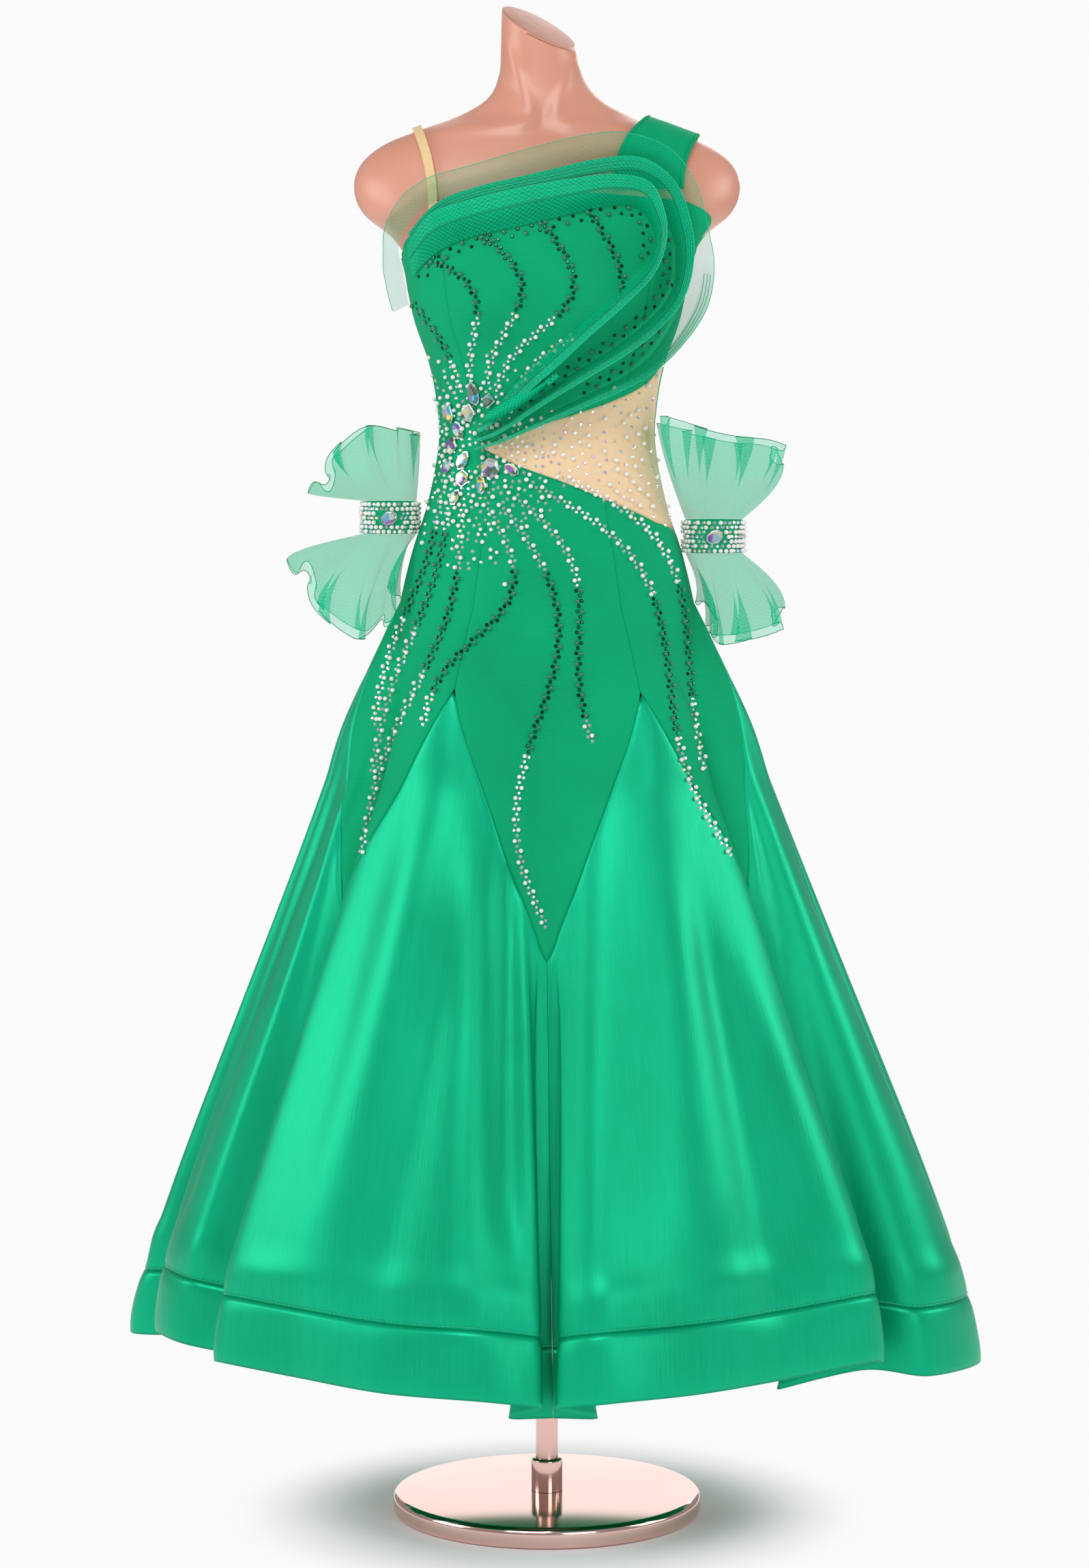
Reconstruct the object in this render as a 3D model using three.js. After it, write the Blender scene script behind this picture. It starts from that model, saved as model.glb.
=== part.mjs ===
// A ballroom dance dress on a limbless dress form with a round stand.
// Millimetres, +Z up, +X to the viewer's right, the front of the dress towards -Y.
// The origin is the middle of the stand's underside.
//
// The form is a stack of rounded sections. Every cloth panel is a thin wall on one shared surface:
// above the hip line the surface is the form's skin moved out, and below it the surface flares to a
// hem that is given by one row for each fold.

import * as THREE from "three";

// ---------------------------------------------------------------- driving dimensions
const SEAM_GAP = 0.15; // each panel stops this far short of a seam, so two panels are 0.3 apart
const CLOTH_CLEAR = 3.6; // from the form's skin to the middle of the cloth
const STRAP_LIFT = 0.6; // a strap lies this much further out
const STRAP_TOP = 0.498; // the two halves of a strap stop just short of the shoulder's top, 0.5
const CREPE = 1.4; // wall thicknesses
const SATIN = 1.4;
const STIFF_HEM = 2.2;
const MESH = 1;
const CRINOLINE = 1;
const ORGANZA = 1;

const BASE_RADIUS = 159;
const BASE_HEIGHT = 22;
const BASE_EDGE = 7;
const EDGE_STEPS = 3;
const POLE_RADIUS = 11.5;
const COLLAR_RADIUS = 16;
const COLLAR_HEIGHT = 34;
const FIT_GAP = 0.3; // between hard pieces that touch

const COLLAR_CHAMFER = 3;

const FORM_BOTTOM = 700;
const FORM_AROUND = 30; // points in one section of the form
const SKIRT_GUIDE = 60; // the skirt's inner guide ends this far above the form's bottom
const HIP_LINE = 940; // the skirt's level 0
const WAIST_LINE = 1100;
const RISE = 400; // level -1 lies this far above the hip line
const HEM_BAND = 0.088; // the hem band's share of the skirt's length

const NECK_CUT = { x: -6, z: 1516, slopeX: -0.5, slopeY: 0.32 };
const BUST = { x: 78, z: 1243, reach: 18, wide: 56, tall: 50 };
const SEAM_FAN = { degrees: 20, from: 1020, to: 1200 }; // the princess seams spread towards the bust
const HEM_OVAL = { side: 424, front: 262, back: 352 };
const FLARE = { gain: 1.1, power: 1.06, curl: 0.1, curlPower: 10 }; // the last two turn the hem in

const CREPE_STEPS = { bodice: 6, waist: 3, yoke: 3 };
const GODET_STEPS = 5;
const BAND_STEPS = 2;
const INSET_STEPS = 4;
const SMALL = 1e-3; // the step that finds a surface's direction, in its own coordinates
const FORM_BUST = 0.7; // the form is slighter than the cups of the dress

// ---------------------------------------------------------------- the form's sections
// Half widths and depths of the skin, from the bottom up; power 2 is an ellipse, more is boxier.
const SECTIONS = [
  { z: 700, side: 148, front: 86, back: 104, power: 2.1 },
  { z: 760, side: 157, front: 92, back: 114, power: 2.15 },
  { z: 812, side: 161, front: 96, back: 120, power: 2.2 },
  { z: 870, side: 155, front: 97, back: 117, power: 2.2 },
  { z: 930, side: 146, front: 95, back: 107, power: 2.2 },
  { z: 990, side: 132, front: 90, back: 94, power: 2.15 },
  { z: 1040, side: 116, front: 84, back: 84, power: 2.1 },
  { z: 1100, side: 104, front: 78, back: 77, power: 2.1 },
  { z: 1140, side: 105.5, front: 80, back: 79, power: 2.15 },
  { z: 1180, side: 113, front: 87, back: 84, power: 2.2 },
  { z: 1220, side: 127, front: 94, back: 89, power: 2.25 },
  { z: 1250, side: 134, front: 97, back: 92, power: 2.25 },
  { z: 1280, side: 140, front: 97, back: 94, power: 2.2 },
  { z: 1305, side: 154, front: 94, back: 93, power: 2.1 },
  { z: 1330, side: 184, front: 89, back: 90, power: 2 },
  { z: 1355, side: 194, front: 82, back: 84, power: 2 },
  { z: 1380, side: 187, front: 72, back: 76, power: 2 },
  { z: 1400, side: 163, front: 62, back: 68, power: 2 },
  { z: 1415, side: 126, front: 54, back: 61, power: 2 },
  { z: 1430, side: 84, front: 48, back: 55, power: 2 },
  { z: 1446, side: 57, front: 44, back: 50, power: 2 },
  { z: 1468, side: 44, front: 42, back: 46, power: 2 },
  { z: 1492, side: 40, front: 41, back: 43, power: 2 },
  { z: 1530, side: 37, front: 40, back: 41, power: 2 },
];
const NECK_LEAN = { from: 1400, to: 1530, x: -8 };

// ---------------------------------------------------------------- the skirt's folds
// One row for each fold line, once round from the centre back by the left, the front and the right.
// angle is its place on the hips, x y z its place at the hem, start the level where it leaves the
// body and fold the level where its fold opens.
const FOLDS = [
  { name: "back_seam", angle: -180, x: 0, y: 285, z: 160, start: 0.16, fold: 0.44 },
  { name: "back_left_crease", angle: -176, x: -22, y: 335, z: 170, start: 0.15, fold: 0.44 },
  { name: "back_left_near", angle: -168, x: -75, y: 362, z: 182, start: 0.1, fold: 0.3 },
  { name: "back_left_peak", angle: -150, x: -165, y: 345, z: 185, start: 0, fold: 0.12 },
  { name: "back_left_far", angle: -136, x: -262, y: 300, z: 182, start: 0.05, fold: 0.2 },
  { name: "back_left_edge", angle: -125, x: -318, y: 232, z: 178, start: 0.1, fold: 0.34 },
  { name: "left_back_seam", angle: -120, x: -212, y: 165, z: 158, start: 0.14, fold: 0.385 },
  { name: "side_left_back", angle: -115, x: -330, y: 172, z: 172, start: 0.1, fold: 0.34 },
  { name: "side_left_rear", angle: -101, x: -418, y: 128, z: 172, start: 0, fold: 0.1 },
  { name: "side_left_outer", angle: -94, x: -432, y: 72, z: 170, start: 0, fold: 0.05 },
  { name: "side_left_valley", angle: -90, x: -350, y: 42, z: 176, start: 0, fold: 0.03 },
  { name: "side_left_edge", angle: -84, x: -403, y: 8, z: 190, start: 0, fold: 0.05 },
  { name: "side_left_front", angle: -74, x: -376, y: -50, z: 188, start: 0.05, fold: 0.2 },
  { name: "side_left_return", angle: -66, x: -308, y: -66, z: 176, start: 0.1, fold: 0.34 },
  { name: "left_front_seam", angle: -61, x: -165, y: -102, z: 150, start: 0.15, fold: 0.385 },
  { name: "front_left_edge", angle: -57, x: -332, y: -124, z: 185, start: 0.12, fold: 0.36 },
  { name: "front_left_far", angle: -45, x: -246, y: -194, z: 184, start: 0.05, fold: 0.2 },
  { name: "front_left_peak", angle: -28, x: -158, y: -250, z: 181, start: 0, fold: 0.12 },
  { name: "front_left_near", angle: -10, x: -58, y: -278, z: 179, start: 0.12, fold: 0.3 },
  { name: "front_left_crease", angle: -3.5, x: -5, y: -262, z: 168, start: 0.16, fold: 0.44 },
  { name: "centre_pleat_left", angle: -1.5, x: -36, y: -232, z: 152, start: 0.16, fold: 0.44 },
  { name: "front_seam", angle: 0, x: 6, y: -222, z: 150, start: 0.16, fold: 0.44 },
  { name: "centre_pleat_right", angle: 1.5, x: 48, y: -232, z: 152, start: 0.16, fold: 0.44 },
  { name: "front_right_crease", angle: 3.5, x: 9, y: -264, z: 168, start: 0.16, fold: 0.44 },
  { name: "front_right_near", angle: 10, x: 62, y: -284, z: 179, start: 0.12, fold: 0.3 },
  { name: "front_right_peak", angle: 28, x: 150, y: -256, z: 182, start: 0, fold: 0.12 },
  { name: "front_right_far", angle: 45, x: 238, y: -200, z: 184, start: 0.05, fold: 0.2 },
  { name: "front_right_edge", angle: 57, x: 338, y: -126, z: 186, start: 0.12, fold: 0.36 },
  { name: "right_front_seam", angle: 61, x: 234, y: -98, z: 150, start: 0.15, fold: 0.385 },
  { name: "side_right_return", angle: 66, x: 322, y: -72, z: 164, start: 0.1, fold: 0.34 },
  { name: "side_right_front", angle: 74, x: 388, y: -82, z: 160, start: 0.05, fold: 0.2 },
  { name: "side_right_edge", angle: 84, x: 447, y: 0, z: 158, start: 0, fold: 0.05 },
  { name: "side_right_valley", angle: 90, x: 382, y: 45, z: 166, start: 0, fold: 0.03 },
  { name: "side_right_outer", angle: 94, x: 440, y: 80, z: 172, start: 0, fold: 0.05 },
  { name: "side_right_rear", angle: 101, x: 424, y: 140, z: 174, start: 0, fold: 0.1 },
  { name: "side_right_back", angle: 115, x: 335, y: 182, z: 172, start: 0.1, fold: 0.34 },
  { name: "right_back_seam", angle: 120, x: 215, y: 170, z: 158, start: 0.14, fold: 0.385 },
  { name: "back_right_edge", angle: 125, x: 322, y: 238, z: 178, start: 0.1, fold: 0.34 },
  { name: "back_right_far", angle: 136, x: 262, y: 303, z: 183, start: 0.05, fold: 0.2 },
  { name: "back_right_peak", angle: 150, x: 165, y: 350, z: 186, start: 0, fold: 0.12 },
  { name: "back_right_near", angle: 168, x: 75, y: 366, z: 182, start: 0.1, fold: 0.3 },
  { name: "back_right_crease", angle: 176, x: 24, y: 338, z: 170, start: 0.15, fold: 0.44 },
];

// The crepe yoke ends in points over the seams and lets each godet rise to a peak between them.
const YOKE_EDGE = [
  { angle: -180, level: 0.44 },
  { angle: -150, level: 0.105 },
  { angle: -120, level: 0.385 },
  { angle: -90, level: 0.015 },
  { angle: -61, level: 0.385 },
  { angle: -28, level: 0.105 },
  { angle: 0, level: 0.44 },
  { angle: 28, level: 0.11 },
  { angle: 61, level: 0.37 },
  { angle: 90, level: 0.015 },
  { angle: 120, level: 0.385 },
  { angle: 150, level: 0.105 },
  { angle: 180, level: 0.44 },
];

// Heights of the dress's top edge and of the nude inset's two edges, round the body.
const TOP_EDGE = [
  { angle: -180, z: 1300 },
  { angle: -120, z: 1292 },
  { angle: -90, z: 1284 },
  { angle: -57, z: 1293 },
  { angle: -28, z: 1316 },
  { angle: -10, z: 1350 },
  { angle: 0, z: 1352 },
  { angle: 28, z: 1342 },
  { angle: 61, z: 1308 },
  { angle: 90, z: 1284 },
  { angle: 120, z: 1318 },
  { angle: 150, z: 1330 },
  { angle: 180, z: 1300 },
];
const INSET_TOP = [
  { angle: -28, z: 1099 },
  { angle: -10, z: 1114 },
  { angle: 28, z: 1148 },
  { angle: 61, z: 1176 },
  { angle: 90, z: 1184 },
];
const INSET_BOTTOM = [
  { angle: -28, z: 1096 },
  { angle: -10, z: 1078 },
  { angle: 28, z: 1046 },
  { angle: 61, z: 1022 },
  { angle: 90, z: 1012 },
];

// ---------------------------------------------------------------- the crinoline swirl
// Each band is sewn to the bodice along its root and stands out to a free edge, both given by rows
// from the left side round the top and the right and down the diagonal to the brooch. lift is how
// far the free edge stands in front of the root, and bow how far the band arches between them.
const SWIRLS = {
  swirl_inner: [
    { rootX: -128, rootZ: 1268, edgeX: -132, edgeZ: 1298, lift: 12, bow: 4 },
    { rootX: -106, rootZ: 1289, edgeX: -113, edgeZ: 1326, lift: 13, bow: 5 },
    { rootX: -76, rootZ: 1303, edgeX: -82, edgeZ: 1338, lift: 10, bow: 6 },
    { rootX: -26, rootZ: 1315, edgeX: -28, edgeZ: 1352, lift: 11, bow: 6 },
    { rootX: 25, rootZ: 1327, edgeX: 26, edgeZ: 1361, lift: 13, bow: 6 },
    { rootX: 62, rootZ: 1335, edgeX: 68, edgeZ: 1365, lift: 17, bow: 6 },
    { rootX: 88, rootZ: 1333, edgeX: 100, edgeZ: 1357, lift: 24, bow: 5 },
    { rootX: 101, rootZ: 1314, edgeX: 113, edgeZ: 1328, lift: 30, bow: 5 },
    { rootX: 101, rootZ: 1290, edgeX: 112, edgeZ: 1296, lift: 30, bow: 5 },
    { rootX: 88, rootZ: 1268, edgeX: 100, edgeZ: 1266, lift: 28, bow: 5 },
    { rootX: 60, rootZ: 1244, edgeX: 74, edgeZ: 1238, lift: 26, bow: 6 },
    { rootX: 30, rootZ: 1219, edgeX: 42, edgeZ: 1210, lift: 25, bow: 6 },
    { rootX: 0, rootZ: 1194, edgeX: 12, edgeZ: 1182, lift: 24, bow: 6 },
    { rootX: -28, rootZ: 1166, edgeX: -18, edgeZ: 1155, lift: 22, bow: 6 },
    { rootX: -52, rootZ: 1134, edgeX: -44, edgeZ: 1129, lift: 18, bow: 5 },
    { rootX: -66, rootZ: 1116, edgeX: -64, edgeZ: 1113, lift: 14, bow: 3 },
  ],
  swirl_middle: [
    { rootX: -128, rootZ: 1294, edgeX: -132, edgeZ: 1311, lift: 4, bow: 2 },
    { rootX: -104, rootZ: 1312, edgeX: -108, edgeZ: 1338, lift: 4, bow: 2 },
    { rootX: -68, rootZ: 1328, edgeX: -72, edgeZ: 1352, lift: 2, bow: 3 },
    { rootX: -2, rootZ: 1341, edgeX: -4, edgeZ: 1368, lift: 2, bow: 3 },
    { rootX: 52, rootZ: 1350, edgeX: 54, edgeZ: 1381, lift: 3, bow: 3 },
    { rootX: 86, rootZ: 1353, edgeX: 94, edgeZ: 1381, lift: 8, bow: 4 },
    { rootX: 108, rootZ: 1342, edgeX: 124, edgeZ: 1359, lift: 16, bow: 4 },
    { rootX: 118, rootZ: 1317, edgeX: 138, edgeZ: 1324, lift: 22, bow: 5 },
    { rootX: 122, rootZ: 1292, edgeX: 140, edgeZ: 1288, lift: 25, bow: 5 },
    { rootX: 118, rootZ: 1256, edgeX: 131, edgeZ: 1250, lift: 26, bow: 5 },
    { rootX: 98, rootZ: 1228, edgeX: 108, edgeZ: 1220, lift: 26, bow: 5 },
    { rootX: 67, rootZ: 1202, edgeX: 76, edgeZ: 1194, lift: 26, bow: 5 },
    { rootX: 33, rootZ: 1179, edgeX: 40, edgeZ: 1170, lift: 25, bow: 5 },
    { rootX: -8, rootZ: 1150, edgeX: -2, edgeZ: 1143, lift: 23, bow: 5 },
    { rootX: -45, rootZ: 1120, edgeX: -42, edgeZ: 1115, lift: 19, bow: 4 },
    { rootX: -68, rootZ: 1107, edgeX: -67, edgeZ: 1104, lift: 14, bow: 3 },
  ],
  swirl_outer: [
    { rootX: -132, rootZ: 1240, edgeX: -148, edgeZ: 1232, lift: 3, bow: 1 },
    { rootX: -137, rootZ: 1272, edgeX: -158, edgeZ: 1282, lift: 3, bow: 1 },
    { rootX: -141, rootZ: 1308, edgeX: -152, edgeZ: 1332, lift: 1, bow: 1 },
    { rootX: -113, rootZ: 1338, edgeX: -122, edgeZ: 1360, lift: 1, bow: 2 },
    { rootX: -72, rootZ: 1346, edgeX: -76, edgeZ: 1374, lift: 1, bow: 3 },
    { rootX: -21, rootZ: 1360, edgeX: -22, edgeZ: 1389, lift: 1, bow: 3 },
    { rootX: 39, rootZ: 1374, edgeX: 40, edgeZ: 1404, lift: 4, bow: 3 },
    { rootX: 75, rootZ: 1376, edgeX: 80, edgeZ: 1405, lift: 8, bow: 3 },
    { rootX: 104, rootZ: 1369, edgeX: 120, edgeZ: 1390, lift: 12, bow: 4 },
    { rootX: 123, rootZ: 1350, edgeX: 145, edgeZ: 1357, lift: 14, bow: 5 },
    { rootX: 130, rootZ: 1318, edgeX: 156, edgeZ: 1316, lift: 16, bow: 5 },
    { rootX: 133, rootZ: 1282, edgeX: 160, edgeZ: 1276, lift: 18, bow: 5 },
    { rootX: 128, rootZ: 1246, edgeX: 152, edgeZ: 1236, lift: 20, bow: 5 },
    { rootX: 108, rootZ: 1206, edgeX: 126, edgeZ: 1199, lift: 22, bow: 5 },
    { rootX: 80, rootZ: 1176, edgeX: 92, edgeZ: 1169, lift: 23, bow: 5 },
    { rootX: 33, rootZ: 1149, edgeX: 40, edgeZ: 1142, lift: 23, bow: 5 },
    { rootX: -18, rootZ: 1123, edgeX: -14, edgeZ: 1117, lift: 20, bow: 4 },
    { rootX: -50, rootZ: 1106, edgeX: -48, edgeZ: 1102, lift: 17, bow: 4 },
    { rootX: -70, rootZ: 1098, edgeX: -69, edgeZ: 1095, lift: 14, bow: 3 },
  ],
};
const SWIRL_STEPS = 2; // columns between two rows
const SWIRL_ACROSS = 2;
const ROOT_CLEAR = 3.8; // from the middle of the bodice's wall to the root of a band

// ---------------------------------------------------------------- wrist cuffs and their ruffles
// Each ruffle's hem is a ring of eight places, given from the cuff's middle; outward is away from
// the dress.
const CUFFS = [
  {
    side: "left",
    outward: -1,
    x: -159,
    z: 1026,
    radiusX: 27,
    radiusY: 22,
    height: 32,
    upper: [
      { outward: 70, y: 0, z: 24 },
      { outward: 60, y: -34, z: 62 },
      { outward: 22, y: -48, z: 92 },
      { outward: -14, y: -38, z: 88 },
      { outward: -30, y: 0, z: 82 },
      { outward: -14, y: 38, z: 86 },
      { outward: 20, y: 46, z: 90 },
      { outward: 58, y: 34, z: 58 },
    ],
    lower: [
      { outward: 92, y: 0, z: -42 },
      { outward: 76, y: -36, z: -88 },
      { outward: 30, y: -46, z: -120 },
      { outward: 2, y: -44, z: -100 },
      { outward: -4, y: 0, z: -62 },
      { outward: 2, y: 44, z: -98 },
      { outward: 30, y: 46, z: -118 },
      { outward: 76, y: 36, z: -86 },
    ],
  },
  {
    side: "right",
    outward: 1,
    x: 169,
    z: 1007,
    radiusX: 29,
    radiusY: 22,
    height: 33,
    upper: [
      { outward: 70, y: 0, z: 72 },
      { outward: 58, y: -34, z: 96 },
      { outward: 8, y: -60, z: 104 },
      { outward: -52, y: -72, z: 122 },
      { outward: -44, y: -30, z: 112 },
      { outward: -24, y: 18, z: 104 },
      { outward: 16, y: 46, z: 94 },
      { outward: 52, y: 34, z: 90 },
    ],
    lower: [
      { outward: 72, y: 0, z: -72 },
      { outward: 56, y: -34, z: -96 },
      { outward: 14, y: -48, z: -106 },
      { outward: -2, y: -48, z: -100 },
      { outward: -6, y: 0, z: -66 },
      { outward: -2, y: 48, z: -98 },
      { outward: 14, y: 48, z: -104 },
      { outward: 54, y: 34, z: -94 },
    ],
  },
];
const RUFFLE_WAVES = 8;
const RUFFLE_COLUMNS = 24;
const RUFFLE_ROWS = 2;
const RUFFLE_DEPTH = 6;
const RUFFLE_GAP = 0.6; // between a band's edge and the ruffle sewn to it
const CUFF_STONE = { long: 16, wide: 12, turn: 60, sides: 8 };
const CUFF_STONE_CLEAR = 0.9;

// ---------------------------------------------------------------- the brooch's large stones
// x z is the middle of each stone, turn is from upright towards the viewer's right.
const STONES = [
  { name: "stone_top", x: -70, z: 1153, long: 22, wide: 11, turn: -8, sides: 8 },
  { name: "stone_purple", x: -93, z: 1133, long: 20, wide: 12, turn: -20, sides: 6 },
  { name: "stone_yellow", x: -75, z: 1133, long: 18, wide: 15, turn: 15, sides: 5 },
  { name: "stone_violet", x: -56, z: 1146, long: 13, wide: 12, turn: 10, sides: 4 },
  { name: "stone_clear", x: -84, z: 1115, long: 17, wide: 10, turn: -25, sides: 8 },
  { name: "stone_dark", x: -90, z: 1099, long: 18, wide: 14, turn: 10, sides: 4 },
  { name: "stone_left", x: -80, z: 1084, long: 19, wide: 10, turn: 30, sides: 8 },
  { name: "stone_outer_left", x: -95, z: 1077, long: 14, wide: 7, turn: 35, sides: 8 },
  { name: "stone_blue", x: -54, z: 1077, long: 20, wide: 19, turn: 45, sides: 6 },
  { name: "stone_inset", x: -34, z: 1076, long: 15, wide: 8, turn: -55, sides: 8 },
  { name: "stone_hexagon", x: -81, z: 1066, long: 15, wide: 14, turn: 0, sides: 6 },
  { name: "stone_low", x: -63, z: 1060, long: 18, wide: 8, turn: -8, sides: 8 },
  { name: "stone_lowest", x: -88, z: 1047, long: 15, wide: 8, turn: 25, sides: 8 },
];
const STONE_HEIGHT = 5;
const STONE_CLEAR = 1.4; // from the middle of the cloth's wall to the back of a stone
const STONE_BEND = 250; // a long stone needs more room over the round body: its length squared / this
const STONE_TABLE = 0.6; // the flat face's share of a stone's width

// ---------------------------------------------------------------- colours
const finish = (color, roughness, metalness) =>
  new THREE.MeshStandardMaterial({ color, roughness, metalness });
const MATERIALS = {
  stand: finish(0xd9a79c, 0.12, 1),
  form: finish(0xe0a38e, 0.4, 0),
  crepe: finish(0x00a874, 0.8, 0),
  satin: finish(0x00b47c, 0.35, 0.3),
  nude: finish(0xe8c79e, 0.8, 0),
  crinoline: finish(0x10b880, 0.6, 0),
  crystal: finish(0xe6e0f0, 0.05, 0.2),
};

// ---------------------------------------------------------------- small helpers
const radians = THREE.MathUtils.degToRad;
const smooth = (t) => THREE.MathUtils.smoothstep(t, 0, 1);

// A smooth value of one column of a table, at a place given in another column.
function along(table, by, key, at) {
  const last = table.length - 1;
  const t = THREE.MathUtils.clamp(at, table[0][by], table[last][by]);
  let i = 0;
  while (i < last - 1 && table[i + 1][by] < t) i += 1;
  const slope = (k) => {
    const a = Math.max(k - 1, 0);
    const b = Math.min(k + 1, last);
    return (table[b][key] - table[a][key]) / (table[b][by] - table[a][by]);
  };
  const step = table[i + 1][by] - table[i][by];
  const u = (t - table[i][by]) / step;
  const h = u * u * (3 - 2 * u);
  return (
    table[i][key] * (1 - h) +
    table[i + 1][key] * h +
    step * (slope(i) * u * (1 - u) * (1 - u) - slope(i + 1) * u * u * (1 - u))
  );
}

// A straight-line value of one column of a table.
function straight(table, by, key, at) {
  let i = 0;
  while (i < table.length - 2 && table[i + 1][by] < at) i += 1;
  const u = THREE.MathUtils.clamp((at - table[i][by]) / (table[i + 1][by] - table[i][by]), 0, 1);
  return table[i][key] + (table[i + 1][key] - table[i][key]) * u;
}

// A smooth closed or open curve through the rows of a table: one column at row number s.
function through(table, key, s, closed) {
  const n = table.length;
  const i = Math.floor(s);
  const u = s - i;
  const turn = key === "angle" && closed ? 360 : 0;
  const row = (k) => {
    if (!closed) return table[THREE.MathUtils.clamp(k, 0, n - 1)][key];
    return table[((k % n) + n) % n][key] + turn * Math.floor(k / n);
  };
  const [a, b, c, d] = [row(i - 1), row(i), row(i + 1), row(i + 2)];
  const square = 2 * a - 5 * b + 4 * c - d;
  const cube = 3 * b - a - 3 * c + d;
  return 0.5 * (2 * b + (c - a) * u + square * u * u + cube * u ** 3);
}

// ---------------------------------------------------------------- the skin of the form
function skin(angle, z, cups = 1) {
  const fan = SEAM_FAN.degrees * smooth((z - SEAM_FAN.from) / (SEAM_FAN.to - SEAM_FAN.from));
  const a = radians(angle + fan * Math.sin(radians(2 * angle)));
  const power = 2 / along(SECTIONS, "z", "power", z);
  const round = (value) => Math.sign(value) * Math.abs(value) ** power;
  const depth = along(SECTIONS, "z", Math.cos(a) > 0 ? "front" : "back", z);
  const lean = NECK_LEAN.x * smooth((z - NECK_LEAN.from) / (NECK_LEAN.to - NECK_LEAN.from));
  const x = along(SECTIONS, "z", "side", z) * round(Math.sin(a));
  const y = -depth * round(Math.cos(a));
  return new THREE.Vector3(x + lean, Math.cos(a) > 0 ? y - cups * bust(x, z) : y, z);
}

function bust(x, z) {
  const up = Math.exp(-(((z - BUST.z) / BUST.tall) ** 2));
  const across = (middle) => Math.exp(-(((x - middle) / BUST.wide) ** 2));
  return BUST.reach * up * (across(BUST.x) + across(-BUST.x));
}

// The skin's front at a place given by x and z.
function front(x, z) {
  const power = along(SECTIONS, "z", "power", z);
  const across = Math.min(Math.abs(x) / along(SECTIONS, "z", "side", z), 0.995);
  return -along(SECTIONS, "z", "front", z) * (1 - across ** power) ** (1 / power) - bust(x, z);
}

// A place on the skin's front, given by x and z, and the direction straight out from it.
function onFront(x, z) {
  const here = (dx, dz) => new THREE.Vector3(x + dx, front(x + dx, z + dz), z + dz);
  const up = here(0, 3).sub(here(0, -3));
  const across = here(3, 0).sub(here(-3, 0));
  return { place: here(0, 0), outward: across.cross(up).normalize() };
}

// ---------------------------------------------------------------- the surface of the dress
// s counts fold rows round the body; level runs down: below 0 it is above the hip line, and 1 is
// the hem.
const levelOf = (z) => (HIP_LINE - z) / RISE;

function cover(angle, z) {
  const step = 0.5;
  const p = skin(angle, z);
  const round = skin(angle + step, z).sub(skin(angle - step, z));
  const down = skin(angle, z - step).sub(skin(angle, z + step));
  return p.addScaledVector(down.cross(round).normalize(), CLOTH_CLEAR);
}

function dress(s, level) {
  const angle = through(FOLDS, "angle", s, true);
  if (level <= 0) return cover(angle, HIP_LINE - RISE * level);
  const z = HIP_LINE + (through(FOLDS, "z", s, true) - HIP_LINE) * level;
  const body = cover(angle, Math.max(z, FORM_BOTTOM + SKIRT_GUIDE));
  const start = through(FOLDS, "start", s, true);
  const w = Math.max(0, level - start) / (1 - start);
  const flare = FLARE.gain * w ** FLARE.power - FLARE.curl * w ** FLARE.curlPower;
  const fold = Math.max(0, through(FOLDS, "fold", s, true));
  const open = Math.max(0, (level - fold) / (1 - fold));
  const a = radians(angle);
  const ovalX = HEM_OVAL.side * Math.sin(a);
  const ovalY = -(Math.cos(a) > 0 ? HEM_OVAL.front : HEM_OVAL.back) * Math.cos(a);
  return new THREE.Vector3(
    body.x * (1 - flare) + ovalX * flare + (through(FOLDS, "x", s, true) - ovalX) * open,
    body.y * (1 - flare) + ovalY * flare + (through(FOLDS, "y", s, true) - ovalY) * open,
    z,
  );
}

const foldNumber = (name) => FOLDS.findIndex((row) => row.name === name);

// ---------------------------------------------------------------- walls
// The surface at(a, b) moved out by a distance, along (change with b) x (change with a).
function moved(at, distance) {
  return (a, b) => {
    const across = at(a + SMALL, b).sub(at(a - SMALL, b));
    const down = at(a, b + SMALL).sub(at(a, b - SMALL));
    return at(a, b).addScaledVector(down.cross(across).normalize(), distance);
  };
}

// at(a, b) is the middle of the wall, and grid its columns of [a, b] pairs.
function wall(name, at, grid, thickness, material, closed = false) {
  const rows = grid[0].length;
  const points = [];
  const index = [];
  for (const side of [0.5, -0.5])
    for (const column of grid)
      for (const [a, b] of column) points.push(...moved(at, side * thickness)(a, b));
  const inner = grid.length * rows;
  const quad = (p, q, r, t) => index.push(p, q, r, p, r, t);
  const columns = closed ? grid.length : grid.length - 1;
  for (let i = 0; i < columns; i += 1) {
    const here = i * rows;
    const next = ((i + 1) % grid.length) * rows;
    for (let j = 0; j < rows - 1; j += 1) {
      quad(here + j, here + j + 1, next + j + 1, next + j);
      quad(inner + here + j, inner + next + j, inner + next + j + 1, inner + here + j + 1);
    }
    quad(here, next, inner + next, inner + here);
    quad(here + rows - 1, inner + here + rows - 1, inner + next + rows - 1, next + rows - 1);
  }
  if (!closed)
    for (let j = 0; j < rows - 1; j += 1) {
      const end = (grid.length - 1) * rows;
      quad(j, inner + j, inner + j + 1, j + 1);
      quad(end + j, end + j + 1, inner + end + j + 1, inner + end + j);
    }
  return solid(name, points, index, material);
}

function solid(name, points, index, material) {
  const geometry = new THREE.BufferGeometry();
  geometry.setAttribute("position", new THREE.Float32BufferAttribute(points, 3));
  geometry.setIndex(index);
  geometry.computeVertexNormals();
  const mesh = new THREE.Mesh(geometry, material);
  mesh.name = name;
  return mesh;
}

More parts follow.
